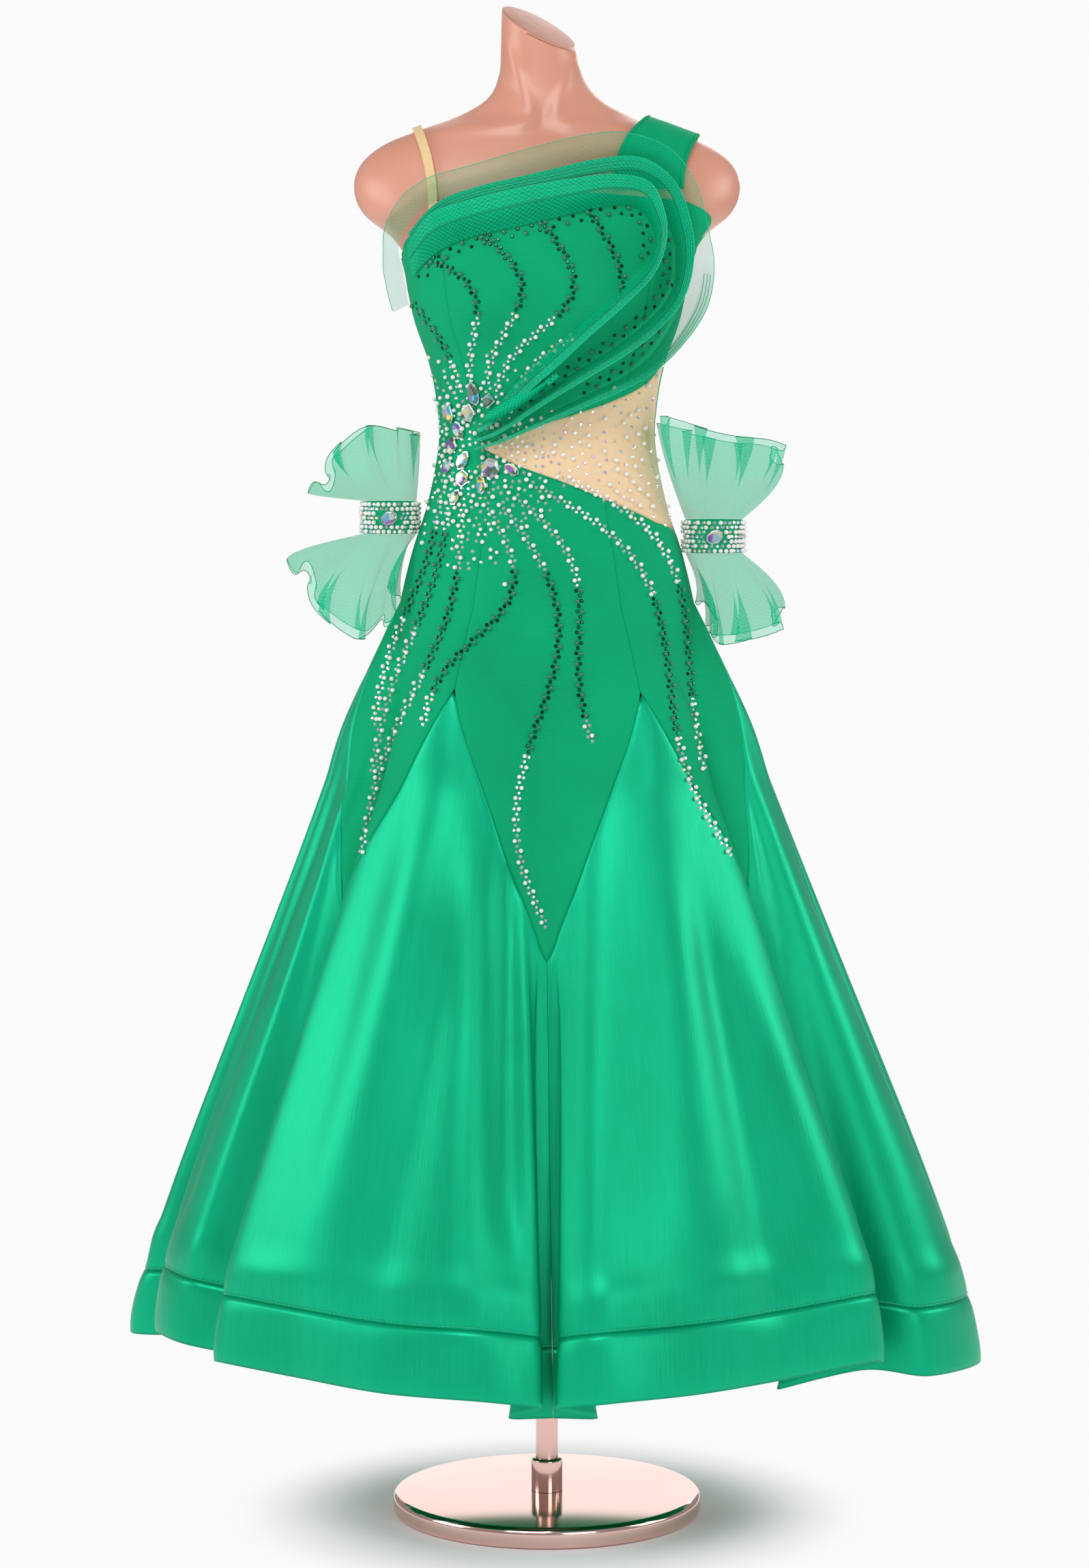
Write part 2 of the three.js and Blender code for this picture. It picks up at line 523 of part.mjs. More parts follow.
// A panel of the dress between two fold rows, from its top edge down through the given levels.
// Its own edges stop short of the seam lines.
function panel(name, from, to, edges, steps, thickness, material) {
  const first = foldNumber(from);
  const end = foldNumber(to) > first ? foldNumber(to) : foldNumber(to) + FOLDS.length;
  const columns = 2 * (end - first);
  const top = edges[0];
  const bottom = edges[edges.length - 1];
  const grid = [];
  for (let i = 0; i <= columns; i += 1) {
    const seam = first + i / 2;
    const column = [];
    edges.slice(1).forEach((edge, block) => {
      const high = edges[block](seam) + (block === 0 ? short(top, seam) : 0);
      const low = edge(seam) - (edge === bottom ? short(bottom, seam) : 0);
      for (let j = block === 0 ? 0 : 1; j <= steps[block]; j += 1)
        column.push([seam, high + ((low - high) * j) / steps[block]]);
    });
    const inward = i === 0 ? 1 : -1;
    if (i === 0 || i === columns)
      for (const pair of column) pair[0] += (inward * SEAM_GAP) / speed(pair, [SMALL, 0]);
    grid.push(column);
  }
  return wall(name, dress, grid, thickness, material);
}

// Millimetres of cloth for one unit of change at a place on the dress.
function speed([s, level], [ds, dl]) {
  const step = dress(s + ds, level + dl).sub(dress(s - ds, level - dl));
  return step.length() / (2 * Math.hypot(ds, dl));
}

// How far, in levels, an edge stops short of its seam line so that the gap across it is even.
function short(edge, s) {
  const nearby = 0.25;
  const leastSine = 0.3;
  const steepest = Math.max(
    ...[-nearby, nearby].map((ds) => {
      const run = dress(s + ds, edge(s + ds)).sub(dress(s, edge(s)));
      const drop = dress(s, edge(s) + SMALL).sub(dress(s, edge(s) - SMALL));
      return 1 / Math.max(leastSine, Math.sin(run.angleTo(drop)));
    }),
  );
  return (SEAM_GAP * steepest) / speed([s, edge(s)], [0, SMALL]);
}

const angleAt = (s) => {
  const angle = through(FOLDS, "angle", s, true);
  return angle > 180 ? angle - 360 : angle;
};
const topEdge = (s) => levelOf(straight(TOP_EDGE, "angle", "z", angleAt(s)));
const insetTop = (s) => levelOf(straight(INSET_TOP, "angle", "z", angleAt(s)));
const insetBottom = (s) => levelOf(straight(INSET_BOTTOM, "angle", "z", angleAt(s)));
const waist = () => levelOf(WAIST_LINE);
const hips = () => 0;
const yokeEdge = (s) => straight(YOKE_EDGE, "angle", "level", angleAt(s));
const bandEdge = () => 1 - HEM_BAND;
const hem = () => 1;

// ---------------------------------------------------------------- stand and form
function turned(name, profile, sides, material) {
  const outline = profile.map(([radius, z]) => new THREE.Vector2(radius, z));
  const geometry = new THREE.LatheGeometry(outline, sides).rotateX(Math.PI / 2);
  const mesh = new THREE.Mesh(geometry, material);
  mesh.name = name;
  return mesh;
}

function makeStand(group) {
  const edge = [];
  for (let k = 0; k <= EDGE_STEPS; k += 1) {
    const turn = (k / EDGE_STEPS) * (Math.PI / 2);
    edge.push([BASE_RADIUS - BASE_EDGE * (1 - Math.sin(turn)), BASE_EDGE * (1 - Math.cos(turn))]);
  }
  for (let k = 0; k <= EDGE_STEPS; k += 1) {
    const turn = (k / EDGE_STEPS) * (Math.PI / 2);
    edge.push([
      BASE_RADIUS - BASE_EDGE * (1 - Math.cos(turn)),
      BASE_HEIGHT - BASE_EDGE * (1 - Math.sin(turn)),
    ]);
  }
  group.add(turned("base_disc", [[0, 0], ...edge, [0, BASE_HEIGHT]], 48, MATERIALS.stand));
  const collarBottom = BASE_HEIGHT + FIT_GAP;
  const collarTop = collarBottom + COLLAR_HEIGHT;
  const collar = [
    [POLE_RADIUS + FIT_GAP, collarBottom],
    [COLLAR_RADIUS, collarBottom],
    [COLLAR_RADIUS, collarTop - COLLAR_CHAMFER],
    [COLLAR_RADIUS - COLLAR_CHAMFER, collarTop],
    [POLE_RADIUS + FIT_GAP, collarTop],
    [POLE_RADIUS + FIT_GAP, collarBottom],
  ];
  group.add(turned("pole_collar", collar, 24, MATERIALS.stand));
  const pole = [
    [0, collarBottom],
    [POLE_RADIUS, collarBottom],
    [POLE_RADIUS, FORM_BOTTOM - FIT_GAP],
    [0, FORM_BOTTOM - FIT_GAP],
  ];
  group.add(turned("pole", pole, 24, MATERIALS.stand));
}

function makeForm(group) {
  const around = FORM_AROUND;
  const heights = SECTIONS.map((row) => row.z);
  const points = [];
  const index = [];
  heights.forEach((z, level) => {
    for (let i = 0; i < around; i += 1) {
      const p = skin((360 * i) / around - 180, z, FORM_BUST);
      if (level === heights.length - 1) p.z = neckCut(p);
      points.push(...p);
    }
  });
  const topMiddle = new THREE.Vector3(NECK_CUT.x, 0, 0);
  topMiddle.z = neckCut(topMiddle);
  points.push(0, 0, heights[0], ...topMiddle);
  const bottomPoint = heights.length * around;
  const topRing = bottomPoint - around;
  for (let i = 0; i < around; i += 1) {
    const next = (i + 1) % around;
    for (let level = 0; level < heights.length - 1; level += 1) {
      const low = level * around;
      const high = low + around;
      index.push(low + i, low + next, high + next, low + i, high + next, high + i);
    }
    index.push(bottomPoint, next, i);
    index.push(bottomPoint + 1, topRing + i, topRing + next);
  }
  group.add(solid("dress_form", points, index, MATERIALS.form));
}

const neckCut = (p) => NECK_CUT.z + NECK_CUT.slopeX * (p.x - NECK_CUT.x) + NECK_CUT.slopeY * p.y;

// ---------------------------------------------------------------- crepe, inset, satin
function makeCrepe(group) {
  const { bodice, waist: middle, yoke } = CREPE_STEPS;
  const whole = [topEdge, waist, hips, yokeEdge];
  const add = (name, from, to, edges, steps) =>
    group.add(panel(name, from, to, edges, steps, CREPE, MATERIALS.crepe));
  add("gore_left", "side_left_valley", "front_left_peak", whole, [bodice, middle, yoke]);
  add("gore_back_left", "back_left_peak", "side_left_valley", whole, [bodice, middle, yoke]);
  add("gore_back_centre", "back_right_peak", "back_left_peak", whole, [bodice, middle, yoke]);
  add("gore_back_right", "side_right_valley", "back_right_peak", whole, [bodice, middle, yoke]);
  add("bodice_centre", "front_left_peak", "front_right_peak", [topEdge, insetTop], [bodice]);
  add("bodice_right", "front_right_peak", "side_right_valley", [topEdge, insetTop], [bodice]);
  const low = [insetBottom, hips, yokeEdge];
  add("hip_centre", "front_left_peak", "front_right_peak", low, [middle, yoke]);
  add("hip_right", "front_right_peak", "side_right_valley", low, [middle, yoke]);
  const inset = ["mesh_inset", "front_left_peak", "side_right_valley", [insetTop, insetBottom]];
  group.add(panel(...inset, [INSET_STEPS], MESH, MATERIALS.nude));
}

const GODETS = [
  { place: "front_left", from: "left_front_seam", to: "front_seam" },
  { place: "front_right", from: "front_seam", to: "right_front_seam" },
  { place: "side_left", from: "left_back_seam", to: "left_front_seam" },
  { place: "side_right", from: "right_front_seam", to: "right_back_seam" },
  { place: "back_left", from: "back_seam", to: "left_back_seam" },
  { place: "back_right", from: "right_back_seam", to: "back_seam" },
];

function makeSkirt(group) {
  for (const { place, from, to } of GODETS) {
    const cloth = [yokeEdge, bandEdge];
    group.add(panel("godet_" + place, from, to, cloth, [GODET_STEPS], SATIN, MATERIALS.satin));
    const band = ["hem_" + place, from, to, [bandEdge, hem], [BAND_STEPS]];
    group.add(panel(...band, STIFF_HEM, MATERIALS.satin));
  }
}

// ---------------------------------------------------------------- straps
// A strap goes over the shoulder: part 0 is its lower end at the front, 0.5 the shoulder's top and
// 1 its lower end at the back. foot and top are its two edges' x there, z and backZ its ends.
const STRAPS = [
  {
    name: "strap",
    material: "crepe",
    thick: CREPE,
    foot: [64, 134],
    top: [99, 152],
    z: 1353,
    backZ: 1336,
  },
  {
    name: "thin_strap",
    material: "nude",
    thick: MESH,
    foot: [-116, -107],
    top: [-134, -125],
    z: 1331,
    backZ: 1300,
  },
];

function strapPoint(strap, across, part) {
  const rise = Math.sin(Math.PI * part);
  const at = (low, high) => low + (high - low) * rise ** 2;
  const inner = at(strap.foot[0], strap.top[0]);
  const outer = at(strap.foot[1], strap.top[1]);
  const x = THREE.MathUtils.lerp(inner, outer, across);
  const footZ = part < 0.5 ? strap.z : strap.backZ;
  const z = footZ + (shoulderTop(x) - footZ) * rise;
  const power = along(SECTIONS, "z", "power", z);
  const ratio = Math.min(1, Math.abs(x) / along(SECTIONS, "z", "side", z));
  const section = along(SECTIONS, "z", part < 0.5 ? "front" : "back", z);
  const depth = section * (1 - ratio ** power) ** (1 / power);
  return new THREE.Vector3(x, part < 0.5 ? -depth : depth, z);
}

// The height where the form's side reaches out to x.
function shoulderTop(x) {
  let low = 1355;
  let high = 1446;
  for (let k = 0; k < 30; k += 1) {
    const middle = (low + high) / 2;
    if (along(SECTIONS, "z", "side", middle) > Math.abs(x)) low = middle;
    else high = middle;
  }
  return low;
}

// Columns and rows of a whole surface, a and b each from 0 to 1.
function squares(columns, rows, closed = false) {
  const grid = [];
  for (let i = 0; i < columns + (closed ? 0 : 1); i += 1) {
    const column = [];
    for (let j = 0; j <= rows; j += 1) column.push([i / columns, j / rows]);
    grid.push(column);
  }
  return grid;
}

function makeStraps(group) {
  for (const strap of STRAPS) {
    const halves = {
      front: (a, b) => strapPoint(strap, a, STRAP_TOP * (1 - b)),
      back: (a, b) => strapPoint(strap, 1 - a, 1 - STRAP_TOP * (1 - b)),
    };
    for (const [half, at] of Object.entries(halves)) {
      const middle = moved(at, CLOTH_CLEAR + STRAP_LIFT);
      const name = strap.name + "_" + half;
      group.add(wall(name, middle, squares(4, 6), strap.thick, MATERIALS[strap.material]));
    }
  }
}

// ---------------------------------------------------------------- swirl
function makeSwirl(group) {
  for (const [name, rows] of Object.entries(SWIRLS)) {
    const last = rows.length - 1;
    const at = (a, b) => {
      const value = (key) => through(rows, key, a * last, false);
      const w = 1 - b;
      const rootX = value("rootX");
      const rootZ = value("rootZ");
      const { place, outward } = onFront(rootX, rootZ);
      const arch = value("lift") * w + value("bow") * Math.sin(Math.PI * w);
      place.addScaledVector(outward, CLOTH_CLEAR + ROOT_CLEAR);
      place.x += (value("edgeX") - rootX) * w;
      place.y -= arch;
      place.z += (value("edgeZ") - rootZ) * w;
      return place;
    };
    const grid = squares(SWIRL_STEPS * last, SWIRL_ACROSS);
    group.add(wall(name, at, grid, CRINOLINE, MATERIALS.crinoline));
  }
}

// ---------------------------------------------------------------- cuffs
function makeCuffs(group) {
  for (const cuff of CUFFS) {
    const half = cuff.height / 2;
    const ring = (a, z) => {
      const turn = 2 * Math.PI * a;
      return new THREE.Vector3(
        cuff.x + cuff.radiusX * Math.sin(turn),
        -cuff.radiusY * Math.cos(turn),
        cuff.z + z,
      );
    };
    const band = (a, b) => ring(a, half - 2 * half * b);
    group.add(wall("cuff_" + cuff.side, band, squares(24, 1, true), CREPE, MATERIALS.crepe, true));
    const ruffle = (a, w, sign, rows) => {
      const start = ring(a, sign * (half + RUFFLE_GAP));
      const value = (key) => through(rows, key, rows.length * (0.25 - cuff.outward * a), true);
      const endX = cuff.x + cuff.outward * value("outward");
      const end = new THREE.Vector3(endX, value("y"), cuff.z + value("z"));
      const out = new THREE.Vector3(start.x - cuff.x, start.y, 0).normalize();
      const swell = Math.sin((w * Math.PI) / 2);
      const wave = RUFFLE_DEPTH * w * Math.cos(2 * Math.PI * RUFFLE_WAVES * a);
      start.x += (end.x - start.x) * swell;
      start.y += (end.y - start.y) * swell;
      start.z += (end.z - start.z) * w;
      return start.addScaledVector(out, wave);
    };
    const parts = {
      upper: (a, b) => ruffle(a, 1 - b, 1, cuff.upper),
      lower: (a, b) => ruffle(a, b, -1, cuff.lower),
    };
    for (const [part, at] of Object.entries(parts)) {
      const name = "ruffle_" + part + "_" + cuff.side;
      const grid = squares(RUFFLE_COLUMNS, RUFFLE_ROWS, true);
      group.add(wall(name, at, grid, ORGANZA, MATERIALS.crinoline, true));
    }
    const y = -cuff.radiusY - CREPE / 2 - CUFF_STONE_CLEAR;
    const stone = { ...CUFF_STONE, name: "cuff_stone_" + cuff.side };
    group.add(makeStone(stone, new THREE.Vector3(cuff.x, y, cuff.z), new THREE.Vector3(0, -1, 0)));
  }
}

// ---------------------------------------------------------------- stones
// A stone lies with its flat back to the cloth and its smaller table outwards.
function makeStone(stone, place, outward) {
  const geometry = new THREE.CylinderGeometry(0.5 * STONE_TABLE, 0.5, STONE_HEIGHT, stone.sides);
  geometry.translate(0, STONE_HEIGHT / 2, 0);
  geometry.scale(stone.wide, 1, stone.long);
  geometry.rotateY(radians(-stone.turn));
  const turn = new THREE.Quaternion().setFromUnitVectors(new THREE.Vector3(0, 1, 0), outward);
  const mesh = new THREE.Mesh(geometry, MATERIALS.crystal);
  mesh.name = stone.name;
  mesh.quaternion.copy(turn);
  mesh.position.copy(place);
  return mesh;
}

function makeBrooch(group) {
  for (const stone of STONES) {
    const { place, outward } = onFront(stone.x, stone.z);
    const lift = CLOTH_CLEAR + STONE_CLEAR + stone.long ** 2 / STONE_BEND;
    group.add(makeStone(stone, place.addScaledVector(outward, lift), outward));
  }
}

const dance_dress = new THREE.Group();
makeStand(dance_dress);
makeForm(dance_dress);
makeCrepe(dance_dress);
makeSkirt(dance_dress);
makeStraps(dance_dress);
makeSwirl(dance_dress);
makeCuffs(dance_dress);
makeBrooch(dance_dress);

export default dance_dress;
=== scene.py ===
# %% [markdown]
# # A ballroom dance dress on a dress form
#
# The dress hangs on a limbless form with a round stand. Its walls, seams and sizes come packed as a
# fixed frame; this lesson lays a finer cloth, its beads and its finishes over that frame. Lengths
# are in metres, +Z is up and the front of the dress looks towards -Y.

# %% Load the frame
import math

import bmesh
import bpy
import numpy as np
from mathutils import Matrix, Vector
from mathutils.bvhtree import BVHTree


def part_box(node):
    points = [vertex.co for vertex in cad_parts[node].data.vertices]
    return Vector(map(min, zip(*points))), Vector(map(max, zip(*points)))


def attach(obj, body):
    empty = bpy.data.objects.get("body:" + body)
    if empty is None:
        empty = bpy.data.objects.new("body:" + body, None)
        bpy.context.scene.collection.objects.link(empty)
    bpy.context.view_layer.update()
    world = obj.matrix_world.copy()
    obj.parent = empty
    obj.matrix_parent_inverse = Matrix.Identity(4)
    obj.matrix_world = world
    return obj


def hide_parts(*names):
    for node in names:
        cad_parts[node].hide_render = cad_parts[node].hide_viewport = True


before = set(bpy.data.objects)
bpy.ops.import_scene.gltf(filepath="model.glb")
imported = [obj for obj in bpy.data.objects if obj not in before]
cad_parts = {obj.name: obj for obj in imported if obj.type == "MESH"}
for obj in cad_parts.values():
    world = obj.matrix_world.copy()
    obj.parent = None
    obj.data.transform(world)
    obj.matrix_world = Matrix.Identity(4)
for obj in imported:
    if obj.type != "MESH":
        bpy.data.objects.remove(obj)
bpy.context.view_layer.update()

# %% [markdown]
# ## Camera
# A long lens from some way off keeps the dress free of distortion. The camera is a little above the
# hips and tilts down, so that the top of the base shows as a flat oval.

# %% Camera
CAMERA_PLACE = (-0.0025, -4.6, 1.2)
CAMERA_DOWN = math.radians(5.53)
CAMERA_LENS = 104.2  # millimetres, for the 36 mm sensor

camera = bpy.data.objects.new("camera", bpy.data.cameras.new("camera"))
bpy.context.scene.collection.objects.link(camera)
camera.location = CAMERA_PLACE
camera.rotation_euler = (math.pi / 2 - CAMERA_DOWN, 0, 0)
camera.data.lens = CAMERA_LENS
camera.data.sensor_width = 36
bpy.context.scene.camera = camera
print("the camera stands", -CAMERA_PLACE[1], "m in front")

# %% [markdown]
# ## Helpers for shapes
# Almost every piece is a sheet, and a sheet is a flat grid that is moved point by point onto a curved
# surface. The grid comes from bmesh with its UV map. A surface is a function of two numbers: how far
# across the piece a point is, and how far down, both from 0 to 1.

# %% Making an object from a bmesh
def finished(name, bm, smooth=True):
    mesh = bpy.data.meshes.new(name)
    bm.to_mesh(mesh)
    bm.free()
    for polygon in mesh.polygons:
        polygon.use_smooth = smooth
    piece = bpy.data.objects.new(name, mesh)
    bpy.context.scene.collection.objects.link(piece)
    return piece


# %% [markdown]
# Cloth is cut flat and then takes a shape. A sheet here starts as Blender's flat grid, and each of its
# vertices is moved onto a function of two shares, across and down. Pushing a plane about by hand would
# give the same look, but a function keeps neighbouring panels on one surface. The same function, walked
# in small steps, also tells how large the cloth was before it was sewn.

# %% A sheet laid on a surface
CUT_STEPS = 60  # rows and columns that measure the cloth a sheet is cut from


def sheet_on(name, surface, columns, rows, closed=False, edges=0.0, widest=1.0):
    """A grid moved onto surface(across, down). edges draws the outer columns towards the sides."""
    bm = bmesh.new()
    uv_layer = bm.loops.layers.uv.new("UVMap")
    bmesh.ops.create_grid(bm, x_segments=columns, y_segments=rows, size=0.5, calc_uvs=True)
    bm.verts.ensure_lookup_table()
    flat = np.array([vert.co[:2] for vert in bm.verts])
    across, down = np.clip(flat[:, 0] + 0.5, 0, 1), np.clip(0.5 - flat[:, 1], 0, 1)
    if edges:
        near = np.array([0, 1, 2, 3])
        even = np.concatenate([near / columns, 1 - near[::-1] / columns])
        drawn = np.concatenate([near * edges, 1 - near[::-1] * edges])
        across = np.interp(across, even, drawn)
    places = surface(across, down)
    for vert, place in zip(bm.verts, places):
        vert.co = place
    width, length = sheet_size(surface, widest)
    for face in bm.faces:
        for loop in face.loops:
            u, v = across[loop.vert.index], down[loop.vert.index]
            loop[uv_layer].uv = (u * width, -v * length)
    if closed:
        bmesh.ops.remove_doubles(bm, verts=bm.verts, dist=1e-5)
    piece = finished(name, bm)
    piece["flat"] = sheet_cut(surface, widest)
    return piece


def sheet_size(surface, widest=1.0, steps=CUT_STEPS):
    """The length of a sheet's longest row and of its longest column, in metres.

    Where a sheet ends in long points its last rows zigzag, and widest leaves those rows out."""
    line = np.linspace(0, 1, steps)
    grid = surface(*[a.ravel() for a in np.meshgrid(line, line, indexing="ij")]).reshape(steps, steps, 3)
    rows = np.linalg.norm(np.diff(grid, axis=0), axis=2).sum(axis=0)[: round(widest * steps)]
    columns = np.linalg.norm(np.diff(grid, axis=1), axis=2).sum(axis=1)
    return float(rows.max()), float(columns.max())


def sheet_cut(surface, widest=1.0, steps=CUT_STEPS):
    """Width, length and area of the cloth that a sheet was cut from, in metres."""
    line = np.linspace(0, 1, steps)
    grid = surface(*[a.ravel() for a in np.meshgrid(line, line, indexing="ij")]).reshape(steps, steps, 3)
    round_ = grid[1:, :-1] - grid[:-1, :-1]
    fall = grid[:-1, 1:] - grid[:-1, :-1]
    area = np.linalg.norm(np.cross(round_, fall), axis=2).sum()
    width, length = sheet_size(surface, widest)
    return [width, length, float(area)]


# %% [markdown]
# Real cloth has two faces and an edge. The Solidify modifier gives a grid its thickness without a second
# sheet having to be modelled. The frame is then told which body the piece moves with, which solid it
# stands for, and the flat size it was cut to.

# %% A wall for a sheet, and what the frame has to know about it
def give_wall(piece, thick, offset=0.0):
    wall = piece.modifiers.new("wall", "SOLIDIFY")
    wall.thickness = thick
    wall.offset = offset
    wall.use_quality_normals = True


def wear(piece, finish, slot, node=None):
    """The piece gets its finish, moves with the body and stands for its node."""
    piece.data.materials.append(finish)
    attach(piece, "root")
    if node:
        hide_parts(node)


LEAST_CUT = 0.010  # the frame takes no narrower cut; only the thin strap's tape, 9.7 mm, is below it


def declare_cloth(piece):
    width, length, area = piece["flat"]
    width = max(width, LEAST_CUT)
    print(f"{piece.name}: cut {width:.3f} x {length:.3f} m, {area:.4f} square metres")


# %% [markdown]
# ## Smooth values from short tables
# The body and the skirt are described by tables with a row for each section or fold. Two kinds of
# curve run through the rows: one for places in between known heights, and one that goes once round.

# %% Curves through table rows
def table(columns, rows):
    return {name: np.array([row[i] for row in rows], float) for i, name in enumerate(columns)}


def between(x, y, at):
    """A smooth value of y at the place `at` along x."""
    at = np.clip(at, x[0], x[-1])
    i = np.clip(np.searchsorted(x, at, side="left") - 1, 0, len(x) - 2)
    before, after = np.maximum(np.arange(len(x)) - 1, 0), np.minimum(np.arange(len(x)) + 1, len(x) - 1)
    slope = (y[after] - y[before]) / (x[after] - x[before])
    step = x[i + 1] - x[i]
    u = (at - x[i]) / step
    h = u * u * (3 - 2 * u)
    bend = slope[i] * u * (1 - u) ** 2 - slope[i + 1] * u * u * (1 - u)
    return y[i] * (1 - h) + y[i + 1] * h + step * bend


def row_curve(y, s, closed=True, turn=0.0):
    """A smooth value of a column at row number s. turn is what one whole round adds."""
    n = len(y)
    i = np.floor(s).astype(int)
    u = s - i

    def row(k):
        if closed:
            return y[k % n] + turn * (k // n)
        return y[np.clip(k, 0, n - 1)]

    a, b, c, d = row(i - 1), row(i), row(i + 1), row(i + 2)
    square, cube = 2 * a - 5 * b + 4 * c - d, 3 * b - a - 3 * c + d
    return 0.5 * (2 * b + (c - a) * u + square * u * u + cube * u**3)


def smoothstep(t):
    t = np.clip(t, 0, 1)
    return t * t * (3 - 2 * t)


def hump(t):
    """A soft bump, 1 at 0 and nearly nothing beyond 2."""
    return np.exp(-t * t)


# %% [markdown]
# ## The form's skin
# The form is a stack of rounded sections. Each section has a half width, a depth to the front and one
# to the back, and a power that makes it boxier than an ellipse. The bust is a pair of soft humps.

# %% Sections of the form
SECTIONS = table(
    ("z", "side", "front", "back", "power"),
    [
        (0.700, 0.1480, 0.086, 0.104, 2.10),
        (0.760, 0.1570, 0.092, 0.114, 2.15),
        (0.812, 0.1610, 0.096, 0.120, 2.20),
        (0.870, 0.1550, 0.097, 0.117, 2.20),
        (0.930, 0.1460, 0.095, 0.107, 2.20),
        (0.990, 0.1320, 0.090, 0.094, 2.15),
        (1.040, 0.1160, 0.084, 0.084, 2.10),
        (1.100, 0.1040, 0.078, 0.077, 2.10),
        (1.140, 0.1055, 0.080, 0.079, 2.15),
        (1.180, 0.1130, 0.087, 0.084, 2.20),
        (1.220, 0.1270, 0.094, 0.089, 2.25),
        (1.250, 0.1340, 0.097, 0.092, 2.25),
        (1.280, 0.1400, 0.097, 0.094, 2.20),
        (1.305, 0.1540, 0.094, 0.093, 2.10),
        (1.330, 0.1840, 0.089, 0.090, 2.00),
        (1.355, 0.1940, 0.082, 0.084, 2.00),
        (1.380, 0.1870, 0.072, 0.076, 2.00),
        (1.400, 0.1630, 0.062, 0.068, 2.00),
        (1.415, 0.1260, 0.054, 0.061, 2.00),
        (1.430, 0.0840, 0.048, 0.055, 2.00),
        (1.446, 0.0570, 0.044, 0.050, 2.00),
        (1.468, 0.0440, 0.042, 0.046, 2.00),
        (1.492, 0.0400, 0.041, 0.043, 2.00),
        (1.530, 0.0370, 0.040, 0.041, 2.00),
    ],
)
NECK_LEAN = {"low": 1.400, "high": 1.530, "x": -0.008}
BUST = {"x": 0.078, "z": 1.243, "reach": 0.018, "wide": 0.056, "tall": 0.050}
SEAM_FAN = {"degrees": 20, "low": 1.020, "high": 1.200}
FORM_BUST = 0.7  # the form is slighter than the cups of the dress


def section(key, z):
    return between(SECTIONS["z"], SECTIONS[key], z)


def bust(x, z):
    up = hump((z - BUST["z"]) / BUST["tall"])
    return BUST["reach"] * up * (hump((x - BUST["x"]) / BUST["wide"]) + hump((x + BUST["x"]) / BUST["wide"]))


def skin(angle, z, cups=1.0):
    """A place on the skin. The angle is 0 at the front and grows towards the viewer's right."""
    angle, z = np.broadcast_arrays(np.asarray(angle, float), np.asarray(z, float))
    fan = SEAM_FAN["degrees"] * smoothstep((z - SEAM_FAN["low"]) / (SEAM_FAN["high"] - SEAM_FAN["low"]))
    a = np.radians(angle + fan * np.sin(np.radians(2 * angle)))
    power = 2 / section("power", z)
    ahead = np.cos(a) > 0
    depth = np.where(ahead, section("front", z), section("back", z))
    lean = NECK_LEAN["x"] * smoothstep((z - NECK_LEAN["low"]) / (NECK_LEAN["high"] - NECK_LEAN["low"]))
    x = section("side", z) * np.sign(np.sin(a)) * np.abs(np.sin(a)) ** power
    y = -depth * np.sign(np.cos(a)) * np.abs(np.cos(a)) ** power
    return np.stack([x + lean, y - np.where(ahead, cups * bust(x, z), 0), z], axis=-1)


print("the waist measures", round(float(2 * SECTIONS["side"][7]), 3), "m across")

# %% [markdown]
# ## The surface of the dress
# One surface carries every panel. Above the hip line it is the skin moved out by the cloth's
# clearance. Below, it flares from the body to an oval, and a row for each fold line tells where that
# line leaves the body, where its fold opens and where it ends at the hem.

